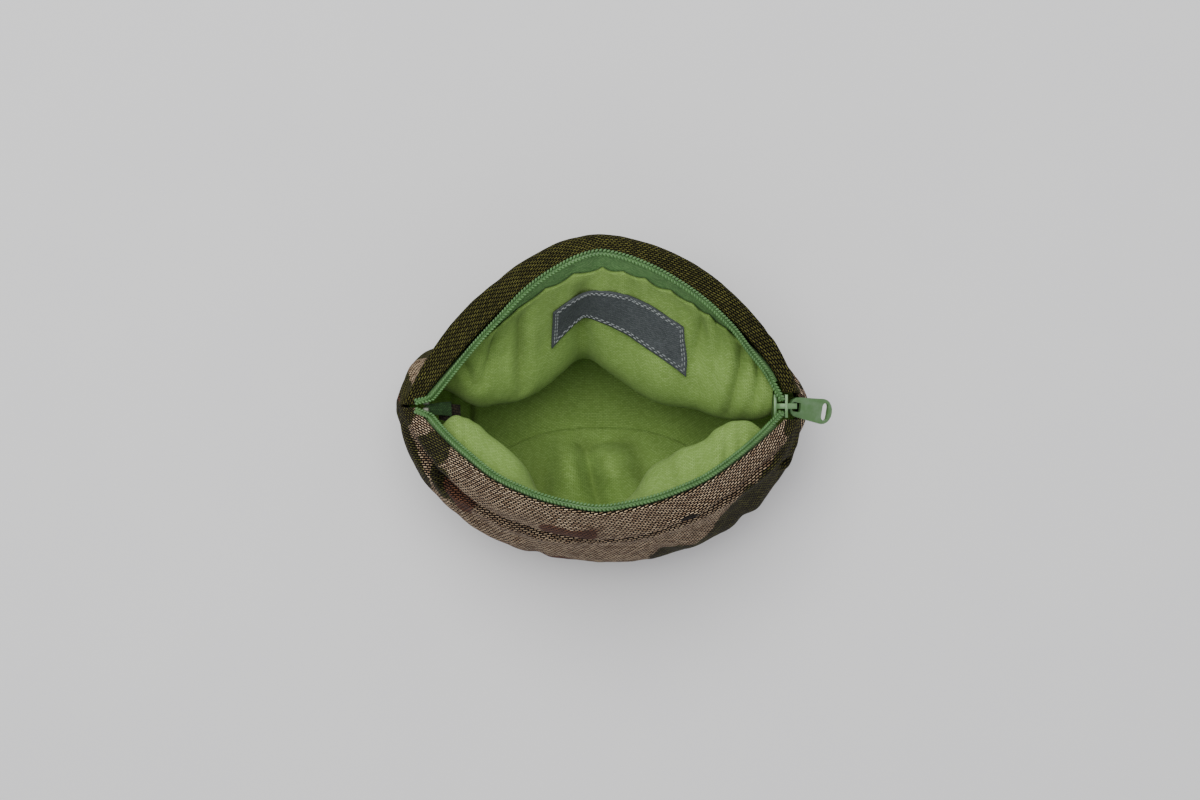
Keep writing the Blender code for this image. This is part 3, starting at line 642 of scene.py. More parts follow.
    def creased(self, piece: str, along: Array, down: Array, lengths: Array, spread: float = 1.0) -> Array:
        """How deep the creases of a piece are at each place, with a low lip on either side.

        Args:
            piece: The piece that the creases are named for.
            along: Places along.
            down: Places down, of the same shape.
            lengths: Length of the cloth down each column, in metres.
            spread: How many times their real width the creases are given.

        Returns:
            Depths in metres.
        """
        total, half = np.zeros(along.shape), self.sizes.half_zip
        for crease in CREASES:
            if crease.piece == piece:
                x, y = (along - crease.along) * half, (down - crease.down) * lengths
                way_x = (crease.to_along - crease.along) * half
                way_y = (crease.to_down - crease.down) * lengths
                place = np.clip((x * way_x + y * way_y) / (way_x**2 + way_y**2), 0, 1)
                away = np.hypot(x - way_x * place, y - way_y * place) / (crease.wide * spread)
                taper = np.sin(math.pi * (self.CREASE_END + (1 - 2 * self.CREASE_END) * place))
                lip = self.LIP * np.exp(-((away - self.LIP_AWAY) ** 2))
                total += crease.deep * taper * (np.exp(-(away**2)) - lip)
        return total


def linear(code: str) -> Colour:
    """An sRGB hex colour in linear light."""
    parts = [int(code[i : i + 2], 16) / 255 for i in (1, 3, 5)]
    return (*[c / 12.92 if c <= 0.04045 else ((c + 0.055) / 1.055) ** 2.4 for c in parts], 1.0)


def add_node(tree: Tree, kind: str, settings: dict | None = None, links: dict | None = None) -> Node:
    """Adds a node to a material.

    Args:
        tree: The material's nodes.
        kind: The node's type name.
        settings: Input values and properties by name, or input values by number.
        links: Sockets to join to inputs, by the input's name or number.

    Returns:
        The new node.
    """
    node = tree.nodes.new(kind)
    for name, value in (settings or {}).items():
        if isinstance(name, int) or name in node.inputs:
            node.inputs[name].default_value = value
        else:
            setattr(node, name, value)
    for name, socket in (links or {}).items():
        tree.links.new(socket, node.inputs[name])
    return node


def mixed(
    tree: Tree, factor: Socket, first: Colour | Socket, second: Colour | Socket, blend: str = "MIX"
) -> Socket:
    """Mixes two colours.

    Args:
        tree: The material's nodes.
        factor: Share of the second colour.
        first: A colour, or the socket that gives it.
        second: A colour, or the socket that gives it.
        blend: How the second colour is laid over the first.

    Returns:
        The socket of the mixed colour.
    """
    node = add_node(tree, "ShaderNodeMix", {"data_type": "RGBA", "blend_type": blend}, {0: factor})
    for index, value in ((6, first), (7, second)):
        if isinstance(value, Socket):
            tree.links.new(value, node.inputs[index])
        else:
            node.inputs[index].default_value = value
    return node.outputs[2]


def new_material(name: str) -> tuple[Material, Tree, Node]:
    """A new material with its nodes and its Principled shader."""
    made = bpy.data.materials.new(name)
    made.use_nodes = True
    return made, made.node_tree, made.node_tree.nodes["Principled BSDF"]


@dataclass(frozen=True)
class Tone:
    """A printed tone of the cloth: the two colours of its threads and the colour between them."""

    light: str
    dark: str
    ground: str


@dataclass(frozen=True)
class WovenFinish:
    """A woven cloth. Each dash is one float of thread; sizes are in millimetres."""

    name: str
    tone: Tone
    dash_long: float
    dash_wide: float
    between: float
    mottle: float
    mottle_size: float
    bump: float
    roughness: float = 0.9
    sheen: float = 0.15
    sheen_tint: str = "#b8b0b4"
    printed: tuple[tuple[str, Tone], ...] = ()
    turn: float = 0.0
    specular: float = 0.25

    def build(self) -> Material:
        """Builds the material on the piece's own real-size UV map."""
        made, tree, shader = new_material(self.name)
        place = add_node(tree, "ShaderNodeUVMap", {"uv_map": "UVMap"}).outputs["UV"]
        turn = {"Rotation": (0.0, 0.0, math.radians(self.turn))}
        place = add_node(tree, "ShaderNodeMapping", turn, {"Vector": place}).outputs["Vector"]
        wander = add_node(tree, "ShaderNodeTexNoise", {"Scale": 260.0, "Detail": 1.0}, {"Vector": place})
        sway = {"operation": "MULTIPLY_ADD", 1: (0.0005, 0.0005, 0.0)}
        shift = add_node(tree, "ShaderNodeVectorMath", sway, {0: wander.outputs["Color"], 2: place})
        dash = {
            "Scale": 1000.0, "Brick Width": self.dash_long, "Row Height": self.dash_wide, "offset": 0.5,
            "offset_frequency": 2, "Mortar Size": self.between, "Mortar Smooth": 0.1, "Bias": 0.0,
            "Color1": linear("#000000"), "Color2": linear("#ffffff"),
        }
        weave = add_node(tree, "ShaderNodeTexBrick", dash, {"Vector": shift.outputs["Vector"]})
        colour = self.threads(tree, weave, self.tone)
        for attribute, tone in self.printed:
            colour = mixed(tree, self.patch(tree, place, attribute), colour, self.threads(tree, weave, tone))
        cloud = {"Scale": 1000.0 / self.mottle_size, "Detail": 4.0}
        cloud = add_node(tree, "ShaderNodeTexNoise", cloud, {"Vector": place}).outputs["Fac"]
        level = {"From Min": 0.3, "From Max": 0.7, "To Min": 1.0 - self.mottle, "To Max": 1.0 + self.mottle}
        level = add_node(tree, "ShaderNodeMapRange", level, {"Value": cloud}).outputs["Result"]
        shade = add_node(tree, "ShaderNodeHueSaturation", {"Hue": 0.5}, {"Value": level, "Color": colour})
        # Painted shade: where the piece's groove weight marks a crease, the colour is multiplied darker.
        groove = add_node(tree, "ShaderNodeAttribute", {"attribute_name": "groove"}).outputs["Fac"]
        colour = mixed(tree, groove, shade.outputs["Color"], GROOVE_PAINTED_SHADE, "MULTIPLY")
        tree.links.new(colour, shader.inputs["Base Color"])
        fuzz = add_node(tree, "ShaderNodeTexNoise", {"Scale": 2600.0, "Detail": 2.0}, {"Vector": place})
        height = add_node(tree, "ShaderNodeMath", {"operation": "MULTIPLY_ADD", 1: -1.0},
                          {0: weave.outputs["Fac"], 2: fuzz.outputs["Fac"]})
        bump = add_node(tree, "ShaderNodeBump", {"Strength": self.bump, "Distance": 0.0002},
                        {"Height": height.outputs["Value"]})
        tree.links.new(bump.outputs["Normal"], shader.inputs["Normal"])
        shader.inputs["Roughness"].default_value = self.roughness
        shader.inputs["Sheen Weight"].default_value = self.sheen
        shader.inputs["Sheen Roughness"].default_value = 0.5
        shader.inputs["Sheen Tint"].default_value = linear(self.sheen_tint)
        shader.inputs["Specular IOR Level"].default_value = self.specular
        return made

    def threads(self, tree: Tree, weave: Node, tone: Tone) -> Socket:
        """Colour of one tone: each dash between its light and dark thread, over the ground."""
        dashes = mixed(tree, weave.outputs["Color"], linear(tone.dark), linear(tone.light))
        return mixed(tree, weave.outputs["Fac"], dashes, linear(tone.ground))

    def patch(self, tree: Tree, place: Socket, attribute: str) -> Socket:
        """Where a printed tone shows: its soft weight, roughened and cut to a clear edge.

        Args:
            tree: The material's nodes.
            place: Socket of the coordinates.
            attribute: Name of the tone's weight on the mesh.

        Returns:
            Socket of the share that shows.
        """
        weight = add_node(tree, "ShaderNodeAttribute", {"attribute_name": attribute})
        ragged = add_node(tree, "ShaderNodeTexNoise", {"Scale": 190.0, "Detail": 3.0}, {"Vector": place})
        total = add_node(tree, "ShaderNodeMath", {"operation": "MULTIPLY_ADD", 1: 0.55},
                         {0: ragged.outputs["Fac"], 2: weight.outputs["Fac"]})
        edge = add_node(tree, "ShaderNodeMapRange", {"From Min": 0.68, "From Max": 0.80},
                        {"Value": total.outputs["Value"]})
        return edge.outputs["Result"]


@dataclass(frozen=True)
class HardFinish:
    """Painted metal, bare metal or moulded nylon, with slight wear in its colour and gloss."""

    name: str
    colour: str
    worn: str
    metallic: float
    roughness: float
    spot: float
    coat: float = 0.0

    def build(self) -> Material:
        """Builds the material on Object coordinates."""
        made, tree, shader = new_material(self.name)
        place = add_node(tree, "ShaderNodeTexCoord").outputs["Object"]
        spots = {"Scale": 1000.0 / self.spot, "Detail": 3.0}
        cloud = {"Value": add_node(tree, "ShaderNodeTexNoise", spots, {"Vector": place}).outputs["Fac"]}
        share = add_node(tree, "ShaderNodeMapRange", {"From Min": 0.4, "From Max": 0.75}, cloud)
        colour = mixed(tree, share.outputs["Result"], linear(self.colour), linear(self.worn))
        tree.links.new(colour, shader.inputs["Base Color"])
        gloss = {"To Min": self.roughness * 0.8, "To Max": self.roughness * 1.25}
        gloss = add_node(tree, "ShaderNodeMapRange", gloss, cloud)
        tree.links.new(gloss.outputs["Result"], shader.inputs["Roughness"])
        shader.inputs["Metallic"].default_value = self.metallic
        shader.inputs["Coat Weight"].default_value = self.coat
        shader.inputs["Coat Roughness"].default_value = 0.25
        shader.inputs["IOR"].default_value = 1.5
        return made


# Painted shade: the colour that the cloth is multiplied by in its grooves, for the shadow that falls there.
GROOVE_PAINTED_SHADE = linear("#958c84")
SAND = Tone("#f8dcb3", "#a78a6a", "#0f0a07")
OLIVE = Tone("#6a6831", "#3f3e1a", "#0a0804")
RUST = Tone("#9c6a4a", "#6f4a33", "#1a100a")
LEAF = Tone("#3a3423", "#28221a", "#0e0b07")

# Coarse plain-woven cotton canvas with a printed pattern: matt, dry threads that catch the light singly over
# a dark ground, with a greyish bloom of loose fibre where the cloth turns away.
PRINT_CLOTH = WovenFinish(
    "printed_canvas", SAND, dash_long=1.95, dash_wide=0.98, between=0.31, mottle=0.10, mottle_size=9.0,
    bump=1.0, roughness=0.92, sheen=0.08, sheen_tint="#a99aa6", turn=16.0, specular=0.1,
    printed=(("olive", OLIVE), ("rust", RUST), ("leaf", LEAF)),
)
# The same canvas where the print is a plain dark olive.
OLIVE_CLOTH = WovenFinish(
    "olive_canvas", OLIVE, dash_long=1.7, dash_wide=0.86, between=0.25, mottle=0.12, mottle_size=9.0,
    bump=1.0, roughness=0.92, sheen=0.02, sheen_tint="#8f8c76", turn=-12.0, specular=0.1,
    printed=(("sand", SAND), ("rust", RUST)),
)
# A folded bit of the dark side of the canvas.
DARK_CANVAS = WovenFinish(
    "dark_canvas", Tone("#4a3f30", "#2c251c", "#120e0a"), dash_long=1.5, dash_wide=1.0, between=0.17,
    mottle=0.1, mottle_size=6.0, bump=0.9,
)
# Thin plain cotton in one soft colour. Its very fine threads are drawn about twice their real width.
LIME_COTTON = WovenFinish(
    "lime_cotton", Tone("#94b563", "#81a14f", "#6e8c41"), dash_long=1.3, dash_wide=0.65, between=0.10,
    mottle=0.06, mottle_size=14.0, bump=0.35, roughness=0.85, sheen=0.15, sheen_tint="#cfe0a8",
)
# Woven polyester zip tape: tight twill with a slightly silky, mottled green.
ZIP_TAPE = WovenFinish(
    "zip_tape", Tone("#86b070", "#6a9558", "#4a7040"), dash_long=0.9, dash_wide=0.55, between=0.10,
    mottle=0.16, mottle_size=4.0, bump=0.6, roughness=0.75, sheen=0.15, sheen_tint="#9fbf90",
)
# The cut ends of the tape: the same twill in a darker green, painted shade for the shadow inside the end of
# the mouth.
SHADED_TAPE_TAILS = WovenFinish(
    "tape_tails", Tone("#47693c", "#33502c", "#22371e"), dash_long=0.9, dash_wide=0.55, between=0.1,
    mottle=0.2, mottle_size=3.0, bump=0.6, roughness=0.8,
)
# Narrow dark woven ribbon of the label: fine dense ribs with little shine.
LABEL_RIBBON = WovenFinish(
    "label_ribbon", Tone("#65696a", "#4d5253", "#383c3e"), dash_long=1.1, dash_wide=0.45, between=0.09,
    mottle=0.08, mottle_size=6.0, bump=0.5, roughness=0.8, sheen=0.1, sheen_tint="#8a8f92",
)
# Light grey sewing thread: twisted polyester, softly bright.
GREY_THREAD = HardFinish("grey_thread", "#9a9e9c", "#83888a", metallic=0.0, roughness=0.7, spot=1.5)
# Nylon coil: a moulded, half-clear plastic thread with small bright highlights.
ZIP_NYLON = HardFinish("zip_nylon", "#598249", "#4b713e", metallic=0.0, roughness=0.38, spot=6.0)
# Green paint on zinc: thin, satin, a little metallic at the worn places.
GREEN_PAINT = HardFinish(
    "green_paint", "#567c48", "#69895f", metallic=0.25, roughness=0.38, spot=2.5, coat=0.2
)
# Pale pressed aluminium of the stops.
STOP_METAL = HardFinish("stop_metal", "#7f8373", "#6b6f61", metallic=0.6, roughness=0.55, spot=1.0)
# Pale grey painted board under the pouch: matt, almost even.
PALE_BOARD = HardFinish("pale_board", "#f3f2ef", "#f1f0ee", metallic=0.0, roughness=0.85, spot=60.0)


def deselect() -> None:
    """Clears the selection before an operator."""
    bpy.ops.object.select_all(action="DESELECT")


def choose(piece: Object) -> None:
    """Selects one piece alone and makes it the active one."""
    deselect()
    piece.select_set(True)
    bpy.context.view_layer.objects.active = piece


def apply_all(piece: Object) -> None:
    """Applies every modifier of a piece."""
    choose(piece)
    for modifier in list(piece.modifiers):
        bpy.ops.object.modifier_apply(modifier=modifier.name)


def turned_out(piece: Object) -> None:
    """Turns every face of a piece outward."""
    shape = bmesh.new()
    shape.from_mesh(piece.data)
    bmesh.ops.recalc_face_normals(shape, faces=shape.faces)
    shape.to_mesh(piece.data)
    shape.free()


def cloth_piece(name: str, outer: Array, inner: Array, finish: Material) -> Object:
    """A closed sheet of cloth between two grids of points, with a real-size UV map.

    Args:
        name: Name of the piece.
        outer: One side, of shape (along, down, xyz).
        inner: The other side, of the same shape.
        finish: Material.

    Returns:
        The new piece.
    """
    columns, rows = outer.shape[:2]
    deselect()
    bpy.ops.mesh.primitive_grid_add(x_subdivisions=columns - 1, y_subdivisions=rows - 1, size=1)
    made = bpy.context.object
    made.name = name
    made.data.name = name
    thick = made.modifiers.new("thickness", "SOLIDIFY")
    thick.thickness = 0.1
    apply_all(made)
    both = np.concatenate([side.transpose(1, 0, 2).reshape(-1) for side in (outer, inner)])
    made.data.vertices.foreach_set("co", both.astype(np.float32))
    corners = np.empty(len(made.data.loops), np.int32)
    made.data.loops.foreach_get("vertex_index", corners)
    front = Surface(outer).flat_places().transpose(1, 0, 2).reshape(-1, 2)
    back = np.stack([front[:, 0], -front[:, 1] - 0.0012], axis=1)
    flat = np.concatenate([front, back])
    made.data.uv_layers[0].name = "UVMap"
    made.data.uv_layers[0].data.foreach_set("uv", flat[corners].reshape(-1).astype(np.float32))
    turned_out(made)
    made.data.materials.append(finish)
    made.data.shade_smooth()
    return made


def keep_print_and_shade(piece: Object, tone: str, weight: Array) -> None:
    """Keeps a weight as a point attribute of a piece of cloth, for a printed tone and for the painted shade
    of its grooves.
    """
    layer = piece.data.attributes.new(tone, "FLOAT", "POINT")
    layer.data.foreach_set("value", np.tile(weight.T.reshape(-1), 2).astype(np.float32))


def repeated(name: str, base: Object, centres: Array, frames: Array, finish: Material) -> Object:
    """Repeats a small shape, each copy at its own place.

    Args:
        name: Name of the piece.
        base: The small shape at the origin. It becomes the piece.
        centres: Place of each copy.
        frames: Three axes of each copy, one row each.
        finish: Material.

    Returns:
        The piece.
    """
    one = np.empty(len(base.data.vertices) * 3, np.float32)
    base.data.vertices.foreach_get("co", one)
    one = one.reshape(-1, 3)
    copies = base.modifiers.new("copies", "ARRAY")
    copies.count = len(centres)
    copies.use_relative_offset = False
    copies.use_constant_offset = True
    copies.constant_offset_displace = (0.01, 0.0, 0.0)
    apply_all(base)
    placed = centres[:, None] + np.einsum("kj,nji->nki", one, frames)
    base.data.vertices.foreach_set("co", placed.reshape(-1).astype(np.float32))
    base.name = name
    base.data.name = name
    turned_out(base)
    base.data.materials.append(finish)
    base.data.shade_smooth()
    return base


def bead(length: float, width: float, height: float, sides: int = 8, rings: int = 5) -> Object:
    """A small rounded bead at the origin.

    Args:
        length: Size in X, in metres.
        width: Size in Y.
        height: Size in Z.
        sides: Faces around.
        rings: Faces along.

    Returns:
        The bead.
    """
    deselect()
    turned = (0.0, math.pi / 2, 0.0)
    bpy.ops.mesh.primitive_uv_sphere_add(segments=sides, ring_count=rings, radius=0.5, rotation=turned)
    made = bpy.context.object
    bpy.ops.object.transform_apply(location=True, rotation=True, scale=True)
    made.scale = (length, width, height)
    bpy.ops.object.transform_apply(location=True, rotation=True, scale=True)
    return made


def joined(first: Object, *others: Object) -> Object:
    """Joins pieces into the first one."""
    deselect()
    for piece in (first, *others):
        piece.select_set(True)
    bpy.context.view_layer.objects.active = first
    bpy.ops.object.join()
    return first


def finished(piece: Object, body: str, node: str) -> Object:
    """Says which body a piece rides on, which CAD node it stands for."""
    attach(piece, body)
    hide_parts(node)
    logging.info("%s: %d faces for %s", piece.name, len(piece.data.polygons), node)
    return piece


def finished_sheet(
    piece: Object, node: str
) -> None:
    """Finishes a piece of cloth on the pouch.

    Args:
        piece: The piece.
        node: The CAD node that it stands for.
    """
    finished(piece, "pouch", node)


@dataclass(frozen=True)
class ClothSizes:
    """Mesh, relief and painted crease shade of the outer cloth. Depths are in metres."""

    columns: int = 300
    rows: int = 124
    gusset_rows: int = 44
    broad: float = 0.00045
    broad_wide: float = 0.013
    fine: float = 0.00016
    fine_wide: float = 0.0045
    still: float = 0.004
    seam_groove: float = 0.0008
    seam_wide: float = 0.0017
    # Painted shade in the creases: how far it spreads and the crease depth that gives its full weight.
    shade_spread: float = 2.0
    shade_depth: float = 0.0034
    ragged: float = 0.45
    scatter: float = 0.55


class OuterCloth:
    """The printed outer cloth: a front face, a back face and the gusset between them."""

    def __init__(self, shape: PouchShape, sizes: ClothSizes) -> None:
        """Keeps the shape and the mesh sizes."""
        self.shape = shape
        self.sizes = sizes
        self.noise = Noise(23)

    def build(self) -> None:
        """Builds the three pieces."""
        printed, olive = PRINT_CLOTH.build(), OLIVE_CLOTH.build()
        for side, finish, slot in ((Side.FRONT, printed, "print_cloth"), (Side.BACK, olive, "olive_cloth")):
            self.face(side, finish, slot)
        self.gusset(printed)

    def relief(self, name: str, along: Array, down: Array, lengths: Array) -> Array:
        """How far the cloth stands out from its smooth form, in metres.

        Args:
            name: The piece: front, back or gusset.
            along: Places along, from -1 at the left end to 1 at the right.
            down: Places down, of the same shape.
            lengths: Length of the cloth down each column, in metres.

        Returns:
            The distance at each place.
        """
        sizes = self.sizes
        fall = down * lengths
        offset = 9.0 * len(name)
        broad = self.noise.at(along * 8 + offset, fall / sizes.broad_wide)
        fine = self.noise.at(along * 26 + offset, fall / sizes.fine_wide + 5)
        total = (sizes.broad * broad + sizes.fine * fine) - self.shape.creased(name, along, down, lengths)
        edge = (1 - down) * lengths
        free = ease((fall - sizes.still) / 0.010)
        if name == "gusset":
            edge = np.minimum(down, 1 - down) * lengths
            free = 1.0
        groove = sizes.seam_groove * np.exp(-((edge / sizes.seam_wide) ** 2))
        total = total * free * ease(edge / sizes.still) * arch(along, 10, 1.0)
        return total - groove * ease((1 - np.abs(along)) / 0.06)

    def tones_and_shade(self, piece: Object, name: str, along: Array, down: Array, lengths: Array) -> None:
        """Prints the tones of a piece: named patches and a scatter of small ones, and keeps where painted
        shade darkens its creases.

        Args:
            piece: The mesh.
            name: The piece: front, back or gusset.
            along: Places along, from -1 at the left end to 1 at the right.
            down: Places down, of the same shape.
            lengths: Length of the cloth down each column, in metres.
        """
        sizes = self.sizes
        sway = self.noise.at(along * 8 + 31, down * 7) + 0.5 * self.noise.at(along * 19, down * 15 + 8)
        dip = self.noise.at(along * 8 + 4, down * 7 + 17) + 0.5 * self.noise.at(along * 19 + 9, down * 15)
        for tone in TONES:
            weight = np.zeros(along.shape)
            for blotch in BLOTCHES:
                if blotch.piece == name and blotch.tone == tone:
                    away = ((along - blotch.along) / blotch.wide + sizes.ragged * sway) ** 2
                    away += ((down - blotch.down) / blotch.deep + sizes.ragged * dip) ** 2
                    weight = np.maximum(weight, np.exp(-0.7 * away ** 1.5))
            if tone in ("olive", "rust") and name != "back":
                seed = 3.7 * TONES.index(tone) + 1.9 * len(name)
                scatter = self.noise.at(along * 4.5 + seed, down * 5.0 + seed)
                weight = np.maximum(weight, sizes.scatter * ease((scatter - 0.45) / 0.5))
            keep_print_and_shade(piece, tone, weight)
        # Painted shade: the creases, widened, set how much darker the cloth is painted in them.
        creases = self.shape.creased(name, along, down, lengths, sizes.shade_spread)
        keep_print_and_shade(piece, "groove", np.clip(creases / sizes.shade_depth, 0, 1))

    def face(self, side: Side, finish: Material, slot: str) -> None:
        """Builds a face of the outer cloth.

        Args:
            side: The front or the back.
            finish: Its material.
            slot: Not used.
        """
        shape, name = self.shape, side.name.lower()
        a, d = grid_places(-1, 1, self.sizes.columns, self.sizes.rows)
        surface = shape.faces[side]
        lengths = surface.length(a)
        out = side.value * surface.read(surface.normals, a, d) * self.relief(name, a, d, lengths)[..., None]
        grids = []
        for depth in (0.0, shape.sizes.cloth):
            grid = shape.below_face(side, a, d, depth)
            shape.set_edge(grid, -1, side, a[:, 0], depth)
            grid = grid + out
            grid[..., 2] = np.maximum(grid[..., 2], depth)
            grids.append(grid)
        piece = cloth_piece(f"outer_cloth_{name}", *grids, finish)
        self.tones_and_shade(piece, name, a, d, lengths)
        finished_sheet(piece, f"shell_{name}")

    def gusset(self, finish: Material) -> None:
        """Builds the strip between the faces."""
        shape = self.shape
        a, w = grid_places(-1, 1, self.sizes.columns, self.sizes.gusset_rows)
        lengths = shape.gusset.length(a)
        relief = self.relief("gusset", a, w, lengths)
        normals = -shape.gusset.read(shape.gusset.normals, a, w)
        for row, side in ((0, Side.FRONT), (-1, Side.BACK)):
            face = shape.faces[side]
            normals[:, row] = side.value * face.read(face.normals, a[:, 0], np.ones(len(a)))
        grids = []
        for depth in (0.0, shape.sizes.cloth):
            grid = shape.below_gusset(a, w, depth) + normals * relief[..., None]
            grid[..., 2] = np.maximum(grid[..., 2], depth)
            grids.append(grid)
        piece = cloth_piece("outer_cloth_gusset", *grids, finish)
        self.tones_and_shade(piece, "gusset", a, w, lengths)
        finished_sheet(piece, "shell_gusset")


@dataclass(frozen=True)
class LiningSizes:
    """Mesh, edge and puckers of the lining. Depths and edge sizes are in metres, puff_from is a share."""

    columns: int = 260
    rows: int = 120
    gusset_rows: int = 40
    first: float = -0.80
    last: float = 0.7750
    gusset_end: float = 0.8667
    edge_end: float = 0.0035
    edge_front: float = 0.0030
    edge_back: float = 0.0070
    puff_from: float = 0.20
    pucker_count: float = 10.5
    pucker: float = 0.0012
    fold: float = 0.0014
    scallop: float = 0.0036
    grain: float = 0.00025
    fine_grain: float = 0.00004
    gusset_swell: float = 0.0004
    # Painted shade along the lining's creases: how far it spreads, the crease depth for its full weight and
    # its most.
    shade_spread: float = 1.3
    shade_depth: float = 0.0065
    shade_most: float = 0.6
    gusset_shade_depth: float = 0.0008
    gusset_shade_most: float = 0.7


class Lining:
    """The lime cotton lining: sewn to the tape above and the seams below, loose and puckered between."""

    def __init__(self, shape: PouchShape, sizes: LiningSizes) -> None:
        """Keeps the shape and the lining's sizes."""
        self.shape = shape
        self.sizes = sizes
        self.noise = Noise(37)
        self.seen: dict[Side, Surface] = {}

    def build(self) -> None:
        """Builds the three pieces."""
        finish = LIME_COTTON.build()
        for side in Side:
            self.face(side, finish)
        self.gusset(finish)

    def phase(self, side: Side, along: Array) -> Array:
        """Running angle of the puckers along the sewn edge."""
        wander = self.noise.at(along * 6 + 13, along * 0 + 7.5 + side.value)
        return 2 * math.pi * (self.sizes.pucker_count * along + 0.6 * wander)

    def start(self, side: Side, along: Array) -> Array:
        """Share of the face above the lining's scalloped upper edge."""
        sizes = self.sizes
        middle = sizes.edge_front if side is Side.FRONT else sizes.edge_back
        edge = sizes.edge_end + (middle - sizes.edge_end) * arch(along, 2.0, 1.0)
        return edge / self.shape.liners[side].length(along)

    def scallops(self, side: Side, along: Array) -> Array:
        """How far the sewn edge waves down between its puckers, as a share of the face."""
        uneven = 0.7 + 0.5 * self.noise.at(along * 9, along * 0 + 3.5)
        wave = self.sizes.scallop * uneven * (np.abs(np.sin(self.phase(side, along) / 2)) - 0.3)
        return wave * (1 - 0.7 * ease((np.abs(along) - 0.5) / 0.25)) / self.shape.liners[side].length(along)

    def puckers(self, side: Side, along: Array, share: Array, lengths: Array) -> Array:
        """How far the lining stands in from its smooth form, in metres.

        Args:
            side: The front or the back.
            along: Places along, from -1 at the left end to 1 at the right.
            share: Places down the lining, from 0 at its upper edge to 1 at the seam.
            lengths: Length of the cloth down each column, in metres.

        Returns:
            The distance at each place.
        """
        sizes = self.sizes
        phase = self.phase(side, along)
        near = share / 0.07 * np.exp(1 - share / 0.07)
        calm = 1 - 0.85 * ease((np.abs(along) - 0.45) / 0.25)
        uneven = 0.75 + 0.5 * self.noise.at(along * 8 + 2, share * 3 + 1.5)
        small = sizes.pucker * 0.5 * (1 + np.cos(phase)) * near * calm * uneven
        lower = np.exp(-(((share - 0.30) / 0.22) ** 2))
        broad = sizes.fold * 0.5 * (1 + np.sin(phase * 0.37 + 1.0 + 2.0 * share)) * lower * calm
        grain = sizes.grain * self.noise.at(along * 11, share * 9)
        grain = grain + sizes.fine_grain * self.noise.at(along * 22, share * 18 + 9)
        creases = self.shape.creased(f"lining_{side.name.lower()}", along, share, lengths)
        swells = sum(f.push * f.weight(along, share) for f in LINING_SWELLS if f.piece == side.name.lower())
        loose = ease((1 - share) / 0.10)
        floor = swells * ease((1 - share) / 0.06) - creases * ease((1 - share) / 0.04)
        return small + ((broad + grain) * loose + floor) * ease(share / 0.10)

    def face(self, side: Side, finish: Material) -> None:
        """Builds the lining of a face.

        Args:
            side: The front or the back.
            finish: Its material.
        """
        shape, sizes, name = self.shape, self.sizes, side.name.lower()
        body = shape.sizes
        a, share = grid_places(sizes.first, sizes.last, sizes.columns, sizes.rows)
        start = self.start(side, a)
        down = start + share * (1 - start) + self.scallops(side, a) * np.exp(-share / 0.05)
        top = body.cloth + 3 * body.gap + body.tape
        free = ease(share / sizes.puff_from)
        depth = top + (body.lining_loose - top) * free
        depth = depth + (body.lining_under - depth) * ease((share - 0.86) / 0.14)
        hidden = shape.below_face(side, a, down, depth, True)
        for puff in LINING_PUFFS:
            if puff.piece == name:
                hidden[..., 1] -= side.value * puff.push * puff.weight(a, down) * free
        way = Surface(hidden).normals * side.value
        lengths = shape.liners[side].length(a)
        hidden = hidden - way * self.puckers(side, a, share, lengths)[..., None]
        way = Surface(hidden).normals * side.value
        seen = hidden - way * body.lining
        for grid, under in ((hidden, body.lining_under), (seen, body.lining_under + body.lining)):
            shape.set_edge(grid, -1, side, a[:, 0], under)
            grid[..., 2] = np.maximum(grid[..., 2], under)
        self.seen[side] = Surface(seen, sizes.first, sizes.last)
        piece = cloth_piece(f"lining_cloth_{name}", seen, hidden, finish)
        # Painted shade: the lining's colour is painted darker along its creases.
        creases = shape.creased(f"lining_{name}", a, share, lengths, sizes.shade_spread)
        keep_print_and_shade(piece, "groove", np.clip(creases / sizes.shade_depth, 0, sizes.shade_most))
        finished_sheet(piece, f"lining_{name}")

    def gusset(self, finish: Material) -> None:
        """Builds the lining of the gusset, with its cross seam."""
        shape, sizes, body = self.shape, self.sizes, self.shape.sizes
        a, w = grid_places(-sizes.gusset_end, sizes.gusset_end, sizes.columns, sizes.gusset_rows)
        lengths = shape.gusset.length(a)
        fade = ease(np.minimum(w, 1 - w) / 0.12)
        creases = shape.creased("lining_gusset", a, w, lengths)
        relief = sizes.gusset_swell * (1 + self.noise.at(a * 14, w * 3)) - creases
        way = shape.gusset.read(shape.gusset.normals, a, w) * (relief * fade)[..., None]
        hidden = shape.below_gusset(a, w, body.lining_under) + way
        seen = shape.below_gusset(a, w, body.lining_under + body.lining) + way
        piece = cloth_piece("lining_cloth_gusset", seen, hidden, finish)
        # Painted shade: the gusset lining's colour is painted darker along its creases.
        keep_print_and_shade(piece, "groove", np.clip(creases / sizes.gusset_shade_depth, 0, sizes.gusset_shade_most))
        finished_sheet(piece, "lining_gusset")


@dataclass(frozen=True)
class ZipSizes:
    """Sizes of the zip, in metres. coil_left, coil_high and coil_end are shares of the pouch's own sizes."""

    pitch: float = 0.00127
    turn_long: float = 0.00150
    turn_wide: float = 0.00092
    turn_high: float = 0.00105
    row_apart: float = 0.00070
    slant: float = math.radians(38)
    core: float = 0.0013
    core_drop: float = 0.0006
    tape_rise: float = 0.0003
    row_lift: float = 0.0003
    coil_left: float = 0.450
    coil_high: float = 0.606
    coil_end: float = 0.8667
    coil_points: int = 241
    coil_apart: float = 0.0024
    apart_left: float = 0.65
    apart_above: float = 1.1
    slider_place: float = 0.0649
    slider_height: float = 0.0575
    slider_length: float = 0.0095
    plate: float = 0.0010
    tape_columns: int = 300
    tape_rows: int = 24
    tape_end: float = 0.9333
    edge_round: float = 0.00025


